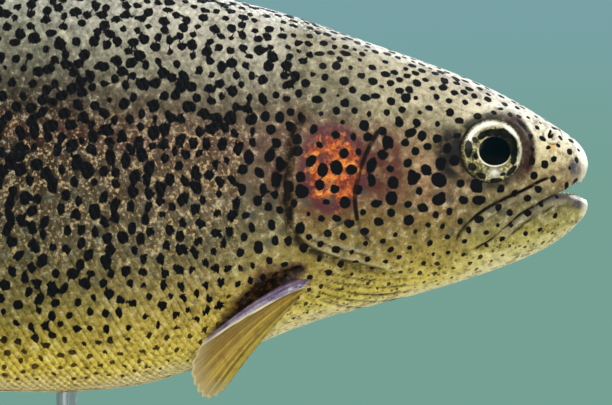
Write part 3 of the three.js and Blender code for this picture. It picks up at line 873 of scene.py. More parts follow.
scales = {
    "pitch": ((90, 1.75), (165, 2.0), (300, 2.45), (400, 2.3)),  # by distance behind the snout
    "rowShare": 0.98,      # row spacing as a share of the pitch
    "thickness": 0.045,
    "lift": 0.06,          # how high the free edge stands over the skin
    "longer": 1.5,         # scale length as a share of the pitch
    "crown": 0.014,        # how far a scale's middle swells
    "tilt": 0.009,
    "ownColour": 0.12,     # how far a scale takes one colour, that at its middle
    "rows": 75,            # tried above the lateral line, and as many below it
    "tube": 0.12,          # on each scale of the lateral line
    "last": 397,           # mm behind the snout
}
finBases = [
    # bare strips along the back or belly: first and last mm behind the snout, and whether it's the back
    (188, 241, True), (323, 333, True), (297, 337, False),
]
lateralLine = through([(80, 11), (110, 8), (200, 2.5), (300, 0.6), (400, 0)])


def scalesStart(z):
    # How far behind the snout the first scales lie, by height: behind the smooth shoulder and over the nape.
    return np.interp(
        z, [-62, -45, -32, -22, 10, 17, 22, 30, 42, 50], [104, 93, 94, 91.5, 90.5, 86, 77, 71, 66, 64])


def skinAt(s, share, side):
    y, z = sectionPoint(s, angleAtShare(s, share))
    return place(s, side * y, z)


def scalePlaces():
    # Rows run along the side from the lateral line up and down, each set back half a scale from the next.
    at = np.array(scales["pitch"]).T
    fine = np.arange(60, 400, 0.25)
    count = np.concatenate([[0], np.cumsum(0.25 / np.interp(fine, *at))[:-1]])
    found = []
    for row in range(-scales["rows"], scales["rows"] + 1):
        number = np.arange(1, int(count[-1]))
        s = np.interp(number + 0.5 * (row % 2), count, fine)
        pitch = np.interp(s, *at)
        lineShare = shareAtAngle(s, angleAt(s, lateralLine(s)))
        arc = lineShare * girth(s) + row * pitch * scales["rowShare"]
        share = arc / girth(s)
        margin = 0.35 * pitch / girth(s)
        ok = (share > margin) & (share < 1 - margin) & (s < scales["last"])
        s, share, pitch = s[ok], share[ok], pitch[ok]
        if len(s):
            z = sectionPoint(s, angleAtShare(s, share))[1]
            ok = s > scalesStart(z)
            found.append(np.stack([s[ok], share[ok], pitch[ok], np.full(ok.sum(), row)], -1))
    return np.concatenate(found)


def inFinBase(s, z, y):
    # No scales where a fin grows out.
    bare = np.zeros(s.shape, bool)
    for first, last, above in finBases:
        bare |= (s > first) & (s < last) & (np.abs(y) < 1.3) & ((z > 0) == above)
    bare |= (s > 210) & (s < 221) & (np.abs(y) < 10.5) & (np.abs(y) > 4) & (z < 0)  # the pelvic fins
    return bare


def buildScales(side, lobes, ghosts):
    # Each scale is a thin closed plate, rooted forward and free behind, like tiles along the rows.
    s, share, pitch, row = scalePlaces().T
    flat = frameAt(s, share)[0]
    keep = ~inFinBase(s, flat[:, 2], flat[:, 1])
    s, share, pitch, row, flat = (a[keep] for a in (s, share, pitch, row, flat))
    here = skinAt(s, share, side)
    back = skinAt(np.minimum(s + 0.5, 399.9), share, side)
    down = skinAt(s, np.minimum(share + 0.4 / girth(s), 1), side)
    rear = back - skinAt(np.maximum(s - 0.5, 0), share, side)
    rear /= np.linalg.norm(rear, axis=1, keepdims=True)
    around = down - skinAt(s, np.maximum(share - 0.4 / girth(s), 0), side)
    out = np.cross(around, rear) * -side
    out /= np.linalg.norm(out, axis=1, keepdims=True)
    out *= np.sign((out * np.stack([0 * s, np.full(s.shape, side), 0.001 * s], -1)).sum(1))[:, None]
    across = np.cross(out, rear)
    n = len(s)
    newborn = smooth(0, 9, s - scalesStart(flat[:, 2]))  # the first scales are small and lie deeper
    size = (1 + rng.normal(0, 0.04, n)) * (0.7 + 0.3 * newborn)
    width = pitch * scales["rowShare"] * 1.04 * size
    length = pitch * scales["longer"] * size
    ring = np.radians(np.linspace(-90, 90, 8))
    outline = [(-0.42, -0.72)] + [(0.14 + 0.44 * math.cos(a), math.sin(a)) for a in ring] + [(-0.42, 0.72)]
    outline = np.array(outline)
    aboveBelly = 0.45 + 0.55 * smooth(0.14, 0.4, levelAt(s, share))
    slope = scales["lift"] * (0.35 + 0.65 * newborn) * aboveBelly
    lean = rng.normal(0, scales["tilt"], n)
    tube = np.where(row == 0, scales["tube"], 0.0)
    # each plate follows the body's roundness, measured over a short arc to both sides of it
    reach = 1.5
    step = reach / girth(s)
    mid = np.clip(share, step, 1 - step)
    sag = (skinAt(s, mid + step, side) + skinAt(s, mid - step, side)) / 2 - skinAt(s, mid, side)
    sag = np.linalg.norm(sag, axis=1) / mm
    base = -0.12 * (1 - newborn)

    def onPlate(places, raised):
        points = []
        for x, w in places:
            height = base + slope * np.clip(x + 0.42, 0, 1) + lean * w * 0.5
            height = height - sag * (w * width / reach) ** 2 + raised
            sideways = rear * (x * length)[:, None] + across * (w * width)[:, None]
            points.append(here + (sideways + out * height[:, None]) * mm)
        return np.stack(points, 1)

    middle = (0.1, 0)
    top = onPlate(outline, 0)
    under = top - out[:, None, :] * scales["thickness"] * mm
    block = np.concatenate([top, under, onPlate([middle], scales["crown"] + tube)], 1)
    k = len(outline)
    upper, rest = [], []
    for i in range(k):
        j = (i + 1) % k
        upper.append((i, j, 2 * k))
        rest += [(i, i + k, j + k), (i, j + k, j)]
    rest += [(k, k + i + 1, k + i) for i in range(1, k - 1)]
    one = np.array(upper + rest)
    if side > 0:
        one = one[:, ::-1]
    # colours under each corner, drawn part of the way towards the colour at the scale's middle
    shape = np.vstack([outline, outline, [middle]])
    per = len(shape)
    free = 1 - scales["ownColour"]
    cornerS = np.clip(s[:, None] + shape[None, :, 0] * length[:, None] * free, 0.1, 399.5)
    turned = np.sign((across * around).sum(1))
    arc = (share * girth(s))[:, None] + shape[None, :, 1] * (width * turned)[:, None] * free
    cornerShare = np.clip(arc / girth(cornerS), 0, 1)
    y, z = sectionPoint(cornerS, angleAtShare(cornerS, cornerShare))
    v = levelAt(cornerS, cornerShare)
    places = np.stack([cornerS, y, z], -1)
    marks = markings(places, v, lobes, ghosts)
    # the two nearest spots also go as places in their own frames, so that they stay round on every scale
    found = nearestSpots(lobes, places[:, -1], 2)
    for rank in range(2):
        lobe = lobes[found[:, rank], None]
        marks["spotFrame" + str(rank)] = inSpot(places, lobe)[0]
        marks["spotSize" + str(rank)] = np.repeat(np.minimum(lobe[..., 9], lobe[..., 10]), per, 1)
    marks["tone"] = np.repeat(rng.random(n)[:, None], per, 1)
    marks["glint"] = np.repeat(rng.random(n)[:, None], per, 1)
    marks["edge"] = np.tile(np.repeat([1.0, 0.0], [2 * k, 1]), (n, 1))
    pieces = []
    names = ("front", "rear")
    cuts = np.quantile(s, np.linspace(0, 1, len(names) + 1))
    for part, name in enumerate(names):
        chosen = (s >= cuts[part]) & ((s < cuts[part + 1]) | (name == "rear"))
        count = chosen.sum()
        points = block[chosen].reshape(-1, 3)
        faces = (one[None] + per * np.arange(count)[:, None, None]).reshape(-1, 3)
        values = {key: value[chosen].reshape(-1, *value.shape[2:]) for key, value in marks.items()}
        u = (s[chosen] - cuts[part]) / (cuts[part + 1] - cuts[part])
        root = np.stack([0.01 + 0.98 * u, 0.01 + 0.98 * share[chosen]], -1)
        uv = (root[:, None, :] + shape[None] * 0.0015).reshape(-1, 2)[faces.ravel()]
        label = "scales_" + ("left_" if side > 0 else "right_") + name
        smoothTops = np.tile(np.arange(len(one)) < len(upper), count)
        piece = makeObject(label, points, [faces], values, np.clip(uv, 0, 1), smoothFaces=smoothTops)
        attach(piece, "root")
        print(label, count, "scales", len(faces), "triangles")
        pieces.append(piece)
    return pieces


irisPatches = [
    # dark patches: mm ahead of the pupil, mm above it, half width, half height, turn in degrees
    (-7.1, 0.5, 1.0, 2.4, 0), (-3.3, 4.3, 1.7, 0.9, 38), (-0.2, 4.9, 2.8, 1.2, 0), (2.8, 4.6, 2.2, 1.5, -30),
    (4.8, 2.8, 1.6, 2.4, 30), (5.5, 0.4, 1.35, 2.6, 4), (5.6, -2.4, 0.9, 1.4, -20),
    (-6.0, -4.4, 1.3, 1.0, -40), (-3.5, -6.8, 1.5, 0.8, -24), (0.8, -8.1, 1.9, 0.7, 4),
    (5.2, -5.4, 1.9, 0.8, 42), (-5.4, 3.0, 0.7, 0.9, 30), (-5.2, -1.6, 0.6, 1.0, 10),
    (2.6, -6.4, 0.8, 0.5, 20),
]


def buildEye(side):
    # A flattened eyeball whose lens stands a little proud of the iris, under a clear coat.
    name = "left" if side > 0 else "right"
    # rings lie closest where the pupil ends
    radii = [np.linspace(0.3, 3.7, 9), np.linspace(3.85, 4.75, 9), np.linspace(4.95, 9.8, 26)]
    turns = np.linspace(0, 2 * math.pi, 113)[:-1]
    r, turn = np.meshgrid(np.concatenate(radii), turns, indexing="ij")
    # the pupil is wider than tall, and drawn out a little towards the snout
    fromSnout = (turn + 0.5 + math.pi) % (2 * math.pi) - math.pi
    pupil = eye["pupil"] * (1 + 0.05 * np.cos(2 * turn) + 0.05 * np.exp(-(fromSnout / 0.5) ** 2))
    stretch = 1 + (pupil / eye["pupil"] - 1) * np.exp(-((r - eye["pupil"]) / 1.2) ** 2)
    bulge = eye["depth"] * np.sqrt(np.maximum(1 - (r / eye["radius"]) ** 2, 0))
    bulge = bulge + eye["lens"] * np.sqrt(np.maximum(1 - (r / 4.3) ** 2, 0))
    bulge = bulge - 0.12 * hump(r, 4.75, 0.4) + 0.12 * hump(r, 8.2, 0.5)
    u, w = r * stretch * np.cos(turn), r * stretch * np.sin(turn)
    lean = eye["faceForward"]
    ahead = u * math.cos(lean) + bulge * math.sin(lean)
    out = bulge * math.cos(lean) - u * math.sin(lean)
    ball = place(eye["at"][0] - ahead, side * (eye["out"] + out), eye["at"][1] + w)
    behind, high = eye["at"]
    tip = eye["depth"] + eye["lens"]
    front = (behind - tip * math.sin(lean), side * (eye["out"] + tip * math.cos(lean)), high)
    back = (behind, side * (eye["out"] - eye["root"]), high)
    front, back = (place(*np.array(pole)[:, None]) for pole in (front, back))
    n, m = r.shape
    points = np.vstack([ball.reshape(-1, 3), front, back])
    index = np.arange(n * m).reshape(n, m)
    nextOne = np.roll(index, -1, 1)
    quads = np.stack([index[:-1], index[1:], nextOne[1:], nextOne[:-1]], -1).reshape(-1, 4)
    fan = np.stack([np.full(m, n * m), index[0], nextOne[0]], -1)
    tail = np.stack([index[-1], np.full(m, n * m + 1), nextOne[-1]], -1)
    if side > 0:
        quads, fan, tail = quads[:, ::-1], fan[:, ::-1], tail[:, ::-1]
    shade = np.zeros(r.shape)
    for px, pz, wide, tall, degrees in irisPatches:
        c, q = math.cos(math.radians(degrees)), math.sin(math.radians(degrees))
        dx, dz = u - px, w - pz
        far = np.hypot((dx * c + dz * q) / wide, (dz * c - dx * q) / tall)
        shade = np.maximum(shade, 1 - smooth(0.65, 1.3, far))
    shade *= smooth(4.05, 4.25, r)
    # painted highlights: a painted reflection of the light from above along the rim and a little ahead, and a
    # painted gleam in a streak below the pupil
    crescent = hump(r, 7.6, 0.7) * smooth(0.2, 0.65, np.sin(turn - 0.15))
    crescent = crescent + 0.55 * hump(r, 7.8, 0.4) * smooth(0.3, 0.9, np.cos(turn))
    paintedHighlight = np.maximum(crescent, 0.75 * np.exp(-((u - 0.3) / 1.5) ** 2 - ((w + 6.0) / 1.2) ** 2))
    rim = np.clip(0.1 - 1.0 * np.sin(turn + 0.3), 0, 1.0) * hump(r, 4.4, 0.19)
    poles = {"eyeRadius": [0, eye["radius"]]}
    marks = {"eyeRadius": r, "irisShade": shade, "irisPaintedHighlight": paintedHighlight, "pupilRim": rim}
    values = {key: np.concatenate([mark.ravel(), poles.get(key, [0, 0])]) for key, mark in marks.items()}
    piece = makeObject("eyeball_" + name, points, [quads, fan, tail], values)
    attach(piece, "root")
    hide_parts("eye_" + name)
    return piece


# Root and tips of each fin's rays, from the leading ray back, as mm behind the snout, left and high. Thick
# is at the root and at the edge. Edge is how far the web between rays falls short of the tips, as a share.
fins = {
    "tail_fin": {
        "root": [(391, 0, 19.5), (396, 0, 0), (391, 0, -19.5)],
        "tips": [(446, 0, 58), (452, 0, 52), (443, 0, 26), (438, 0, 0), (443, 0, -26), (452, 0, -52),
                 (446, 0, -58)],
        "thick": (3.6, 0.45), "rays": 22, "ripple": 1.1, "spots": 70, "spotRadius": 1.4, "edge": 0.02,
        "bow": 0, "look": "spottedFinWeb"},
    "dorsal_fin": {
        "root": [(188.5, 0, 58.5), (214, 0, 57), (239.5, 0, 52.5)],
        "tips": [(211, 0, 103), (220, 0, 104), (236, 0, 95), (249, 0, 83), (255, 0, 70), (247, 0, 60)],
        "thick": (2.6, 0.4), "rays": 13, "ripple": 0.9, "spots": 52, "spotRadius": 1.3, "edge": 0.02,
        "bow": 1.8, "look": "spottedFinWeb"},
    "adipose_fin": {
        "root": [(322.5, 0, 32), (328, 0, 30), (333.5, 0, 28)],
        "tips": [(336, 0, 44), (341, 0, 46.5), (346, 0, 45), (346.5, 0, 41), (341, 0, 36)],
        "thick": (2.6, 0.8), "rays": 0, "ripple": 0.2, "spots": 4, "spotRadius": 1.3, "edge": 0,
        "bow": 1.0, "look": "spottedFinWeb"},
    "anal_fin": {
        "root": [(296.5, 0, -36), (316, 0, -31), (335.5, 0, -24)],
        "tips": [(317, 0, -72), (324, 0, -73), (334, 0, -62), (344, 0, -49), (350, 0, -38), (343, 0, -29)],
        "thick": (2.4, 0.4), "rays": 11, "ripple": 0.7, "spots": 0, "edge": 0.02, "bow": 1.4,
        "look": "yellowFinWeb"},
    "pectoral_fin": {
        "root": [(76.5, -17.3, -27.5), (80.5, -16, -31.5), (84.5, -13.6, -36.5)],
        "tips": [(106, -31, -45.5), (110.6, -30.5, -53), (110.2, -28.5, -59), (107, -26.5, -61.9),
                 (103, -24, -60.3), (98.5, -21, -55), (94.5, -18.5, -48.5)],
        "thick": (2.6, 0.35), "rays": 13, "ripple": 0.6, "spots": 0, "edge": 0.026, "bow": 2.4,
        "look": "bandedFinWeb"},
    "pelvic_fin": {
        "root": [(211.5, -10.5, -54), (216, -7.5, -54.5), (220.5, -4.6, -54.5)],
        "tips": [(242, -27, -74), (248, -25.5, -75), (250, -20, -72.5), (246, -13, -68), (238, -7.5, -63),
                 (230, -5, -59.5)],
        "thick": (2.4, 0.4), "rays": 10, "ripple": 0.4, "spots": 0, "edge": 0.03, "bow": 1.4,
        "look": "yellowFinWeb"},
}


def finSpots(shape):
    # Dark spots, as places across and out along the fin with their radius.
    found = np.zeros((0, 3))
    for attempt in range(shape["spots"] * 14):
        u, v = 0.04 + 0.92 * rng.random(), 0.12 + 0.8 * rng.random()
        size = shape["spotRadius"] * (0.7 + 0.6 * rng.random())
        if not len(found) or np.hypot((found[:, 0] - u) * 1.2, found[:, 1] - v).min() > 0.085:
            found = np.vstack([found, (u, v, size)])
        if len(found) >= shape["spots"]:
            break
    return found


def buildFin(node, webs):
    # Rays are ridges on a thin web, and both of its faces are closed round the edge.
    shape = fins[node.removesuffix("_left").removesuffix("_right")]
    isLeft = node.endswith("_left")
    flip = np.array([1, -1, 1]) if isLeft else np.ones(3)
    rays = shape["rays"]
    across = rays * 8 + 1 if rays else 41
    outward = 49
    root = splined(shape["root"], across) * flip
    tips = splined(shape["tips"], across) * flip
    u = np.linspace(0, 1, across)[:, None]
    v = np.linspace(0, 1, outward)[None, :] ** 0.85
    knots = max(rays, 3) * 2 + 1
    uneven = np.interp(u, np.linspace(0, 1, knots), rng.random(knots))
    ragged = 1 - shape["edge"] * (0.5 - 0.5 * np.cos(2 * math.pi * rays * u)) * (0.3 + 0.7 * uneven)
    worn = np.interp(u, np.linspace(0, 1, 9), rng.random(9))
    ragged = ragged - shape["edge"] * 1.5 * worn * smooth(0, 0.08, u)
    web = root[:, None, :] + (tips - root)[:, None, :] * (v * ragged)[..., None]
    # normals of the flat fan
    normal = np.cross(np.gradient(web, axis=1), np.gradient(web, axis=0))
    normal /= np.maximum(np.linalg.norm(normal, axis=-1, keepdims=True), 1e-9)
    normal[:, 0] = normal[:, 1]
    # the leading rays bow forward
    ray = tips - root
    forward = np.cross(ray[:, None, :], normal)
    forward /= np.maximum(np.linalg.norm(forward, axis=-1, keepdims=True), 1e-9)
    if np.dot(forward[across // 2, 5], root[0] - root[-1]) < 0:
        forward = -forward
    web = web + forward * (shape["bow"] * np.sin(math.pi * v ** 0.9) * (1 - u) ** 0.8)[..., None]
    # rays fork once past half way, and the web between them is thin
    one = 0.5 + 0.5 * np.cos(2 * math.pi * rays * u)
    two = 0.5 + 0.5 * np.cos(4 * math.pi * rays * u)
    fork = smooth(0.42, 0.62, v)
    ridge = (one * (1 - fork) + two * fork) ** 1.4 if rays else np.zeros((across, outward))
    joints = 1 - 0.35 * smooth(0.72, 0.95, np.cos(2 * math.pi * v * 34)) * smooth(0.3, 0.5, v)
    thick = shape["thick"][1] + (shape["thick"][0] - shape["thick"][1]) * (1 - v) ** 2.2
    lead = np.exp(-u * 14) * (1 - v * 0.6)
    thickness = thick * (0.5 + 0.5 * ridge) + 0.35 * lead + 0.3 * ridge * joints * (1 - 0.6 * v)
    thickness = thickness * (1 - 0.6 * smooth(0.93, 1, v))
    wave = shape["ripple"] * np.sin(2.2 * math.pi * u + 1.1) * v ** 1.5
    wave = wave + shape["ripple"] * 0.4 * np.sin(5.1 * math.pi * u) * v ** 2
    web = web + normal * (wave * (-1 if isLeft else 1))[..., None]
    front = web + normal * (thickness / 2)[..., None]
    behind = web - normal * (thickness / 2)[..., None]
    points = np.concatenate([front.reshape(-1, 3), behind.reshape(-1, 3)])
    n = across * outward
    index = np.arange(n).reshape(across, outward)
    near = gridFaces(across, outward, 0)
    far = gridFaces(across, outward, n, flip=True)
    rim = np.concatenate([index[:, 0], index[-1, 1:], index[-2::-1, -1], index[0, -2:0:-1]])
    sides = np.stack([rim, np.roll(rim, -1), np.roll(rim, -1) + n, rim + n], -1)
    spot = np.full((across, outward), 3.0)
    for spotAcross, spotOut, size in finSpots(shape):
        centre = web[int(spotAcross * (across - 1)), int(spotOut * (outward - 1))]
        spot = np.minimum(spot, np.linalg.norm((web - centre) * np.array([1, 0.4, 1]), axis=-1) - size)
    streak = np.interp(u, np.linspace(0, 1, knots), rng.random(knots))
    marks = {"finAcross": u, "finOut": v, "ray": ridge, "spot": spot, "streak": streak}
    spread = {key: np.broadcast_to(mark, (across, outward)) for key, mark in marks.items()}
    values = {key: np.tile(mark.ravel(), 2) for key, mark in spread.items()}
    world = place(points[:, 0], points[:, 1], points[:, 2])
    faces = [near, far, sides]
    # faces that look inward are turned round
    middle = near[len(near) // 2]
    a, b, c = world[middle[:3]]
    if np.dot(np.cross(b - a, c - a), a - world[middle[0] + n]) < 0:
        faces[:2] = [near[:, ::-1], far[:, ::-1]]
    a, b, c = world[sides[5][:3]]
    if np.dot(np.cross(b - a, c - a), a - world[index[across // 2, outward // 2]]) < 0:
        faces[2] = sides[:, ::-1]
    piece = makeObject(node + "_rayed", world, faces, values)
    piece.data.materials.append(webs[shape["look"]])
    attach(piece, "root")
    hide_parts(node)


teeth = {"first": 1.2, "last": 26.0, "apart": 1.15, "inside": 0.75, "width": 0.24, "root": 0.25, "tall": 0.5}


def buildTeeth(half, skinPoints):
    # Small pointed teeth just inside both lips.
    lipRow, corner = half["lipRow"], half["corner"]
    points, faces = [], []
    for upper in (True, False):
        row = skinPoints[:corner + 1, lipRow if upper else lipRow + 1]
        s = -row[:, 0]
        for side in (1, -1):
            for at in np.arange(teeth["first"], teeth["last"], teeth["apart"]):
                base = np.array([np.interp(at, s, row[:, c]) for c in range(3)])
                base[1] = side * max(base[1] - teeth["inside"], 0.2)
                base[0] -= 0.25
                tall = (teeth["tall"] + 0.25 * rng.random()) * (-1 if upper else 1)
                tall = tall * (1 - 0.3 * at / teeth["last"])
                start = len(points)
                for angle in np.linspace(0, 2 * math.pi, 7)[:-1]:
                    around = teeth["width"] * np.array([math.cos(angle), math.sin(angle)])
                    points.append(base + np.array([*around, -teeth["root"] * np.sign(tall)]))
                points.append(base + np.array([-0.18, -side * 0.12, tall]))
                for k in range(6):
                    a, b = start + k, start + (k + 1) % 6
                    faces.append((a, b, start + 6) if tall > 0 else (b, a, start + 6))
                for k in range(start + 1, start + 5):
                    faces.append((start, k + 1, k) if tall > 0 else (start, k, k + 1))
    piece = makeObject("teeth", fishToWorld(np.array(points)), [np.array(faces)])
    piece.data.materials.append(enamelMaterial())
    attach(piece, "root")


def linear(hexCode):
    parts = [int(hexCode[i:i + 2], 16) / 255 for i in (1, 3, 5)]
    return tuple(c / 12.92 if c <= 0.04045 else ((c + 0.055) / 1.055) ** 2.4 for c in parts) + (1.0,)


def addNode(tree, kind, inputs=(), give=None, stops=(), **settings):
    # Adds a node with its settings and gives back one output. Inputs go by name, or in order over the sockets
    # in use: an output is linked, a hex colour is turned to linear. Stops are a ramp's places and colours.
    node = tree.nodes.new("ShaderNode" + kind)
    for key, value in settings.items():
        setattr(node, key, value)
    sockets = [socket for socket in node.inputs if socket.enabled]
    for key, value in inputs.items() if isinstance(inputs, dict) else enumerate(inputs):
        socket = node.inputs[key] if isinstance(key, str) else sockets[key]
        if isinstance(value, bpy.types.NodeSocket):
            tree.links.new(value, socket)
        else:
            socket.default_value = linear(value) if isinstance(value, str) else value
    if stops:
        bands = node.color_ramp.elements
        while len(bands) < len(stops):
            bands.new(0.5)
        for band, (at, hexCode) in zip(bands, stops):
            band.position = at
            band.color = linear(hexCode)
    return node.outputs[give] if give else [socket for socket in node.outputs if socket.enabled][0]


# settings that many nodes share
times = {"operation": "MULTIPLY"}
plus = {"operation": "ADD"}
minus = {"operation": "SUBTRACT"}
timesPlus = {"operation": "MULTIPLY_ADD"}
larger = {"operation": "MAXIMUM"}
smaller = {"operation": "MINIMUM"}
lengthOf = {"operation": "LENGTH"}
eased = {"interpolation_type": "SMOOTHSTEP"}
mixed = {"data_type": "RGBA"}
shaded = {"data_type": "RGBA", "blend_type": "MULTIPLY"}


def newMaterial(name, **sockets):
    # Gives back the material, its shader's inputs, what adds a node to it and what links two sockets.
    material = bpy.data.materials.new(name)
    material.use_nodes = True
    tree = material.node_tree
    surface = tree.nodes["Principled BSDF"].inputs
    for key, value in sockets.items():
        surface[key.replace("_", " ")].default_value = linear(value) if isinstance(value, str) else value
    return material, surface, partial(addNode, tree), tree.links.new


def paintOver(add, colour, layers):
    # Lays colours over one another. Each layer is a colour, its share, how it's mixed in, and what limits it:
    # marks, or values with the range over which they come in and, where given, what that range becomes.
    for paint, share, how, *limits in layers:
        amount = share
        for limit in limits:
            limit = add("MapRange", limit, **eased) if isinstance(limit, tuple) else limit
            amount = add("Math", (amount, limit), **times)
        colour = add("Mix", (amount, colour, paint), **how)
    return colour


# colours of skin and scales; the belly-to-back ramps hold painted light as well as the fish's own colours
skinColours = {
    "snout": [(0, "#ecdfa6"), (0.15, "#a99e54"), (0.27, "#80784f"), (0.4, "#706548"), (0.5, "#8d7c59"),
              (0.62, "#b0a07a"), (0.75, "#d8ccaa"), (0.9, "#e4decd"), (1, "#e4e1d8")],
    "cheek": [(0, "#ecdc9a"), (0.06, "#ccb953"), (0.14, "#a29046"), (0.25, "#816f3d"), (0.34, "#7b653f"),
              (0.44, "#876b4f"), (0.54, "#94785b"), (0.64, "#937c61"), (0.75, "#968e76"), (0.88, "#afa791"),
              (1, "#c4bdaa")],
    "opercle": [(0, "#ecdc9a"), (0.06, "#cfbc54"), (0.14, "#a59348"), (0.25, "#80703b"), (0.34, "#77603a"),
                (0.44, "#77583f"), (0.54, "#775640"), (0.64, "#71594a"), (0.72, "#6b6553"), (0.8, "#7d7764"),
                (0.88, "#8f8974"), (1, "#a8a28f")],
    "shoulder": [(0, "#fbecaa"), (0.06, "#ecd869"), (0.14, "#c3ae56"), (0.22, "#95864e"), (0.3, "#736945"),
                 (0.38, "#605742"), (0.46, "#655443"), (0.54, "#604f40"), (0.6, "#624940"), (0.63, "#655145"),
                 (0.7, "#6a6051"), (0.78, "#949081"), (0.87, "#b2afa4"), (1, "#d0cdc5")],
    "flank": [(0, "#fbeaa0"), (0.05, "#e0cb58"), (0.13, "#a89740"), (0.2, "#7f743b"), (0.28, "#615a37"),
              (0.36, "#4e4734"), (0.44, "#4b422f"), (0.52, "#3c3226"), (0.57, "#392e25"), (0.6, "#462821"),
              (0.63, "#3a2c23"), (0.68, "#3a3228"), (0.74, "#585449"), (0.82, "#848578"), (0.9, "#9d9e99"),
              (1, "#a3a4a4")],
    "orange": [(0.34, "#431a24"), (0.43, "#80341e"), (0.5, "#b65826"), (0.57, "#d67d33"), (0.68, "#e9ab60")],
    "scaleTone": [(0, "#8a8a8a"), (0.5, "#c9c9c9"), (1, "#ffffff")],
    "mottleDark": "#5e5032",
    "mottlePale": "#fff6dc",
    "spot": "#030409",
    "spotRim": "#1d181b",
    "bellySpot": "#4b3d1f",
    "blushEdge": "#4f2230",
    "rust": "#471a1b",
    "blotch": "#6a4642",
    "wine": "#3a151a",
    "fold": "#120d0b",
    "pale": "#ebe6d8",
    "lip": "#453e4c",
    "flap": "#d9a544",
    "eyeShade": "#12171b",
    "armpitShadeEdge": "#4a2a1e",
    "armpit": "#120609",
    "glint": "#cfb284",
    "scaleEdge": "#3a3424",
    "ghost": "#3a423f",
    "stipple": "#3c3214",
    "mouth": "#c9a090",
}
# where each zone's colours take over from those ahead of it, from 0 at the snout to 1 at the tail
skinZones = {"cheek": (0.06, 0.11), "opercle": (0.14, 0.175), "shoulder": (0.195, 0.22), "flank": (0.25, 0.4)}
skinGrain = {
    # mm across one patch, detail, roughness
    "cloud": (16.7, 4.0, 0.5),      # slow drifts of tone
    "patches": (4.35, 6.0, 0.78),   # torn patches about as wide as two scales
    "cloudlet": (3.85, 3.0, 0.5),
    "mottle": (2.33, 6.0, 0.72),    # clumps of pigment
    "wobble": (1.79, 4.0, 0.62),    # bends the spots' edges
}
bareGrain = {
    "torn": (3.33, 4.0, 0.7),
    "pores": (0.71, 3.0, 0.5),      # real pores are finer, drawn wide enough to show
}
# the flecks are painted glints, a few on each scale
scaleGrain = {"fleck": (0.87, 3.0, 0.5)}    # silvery flecks, a few on each scale
stippleApart = 1.56                 # mm from dot to dot


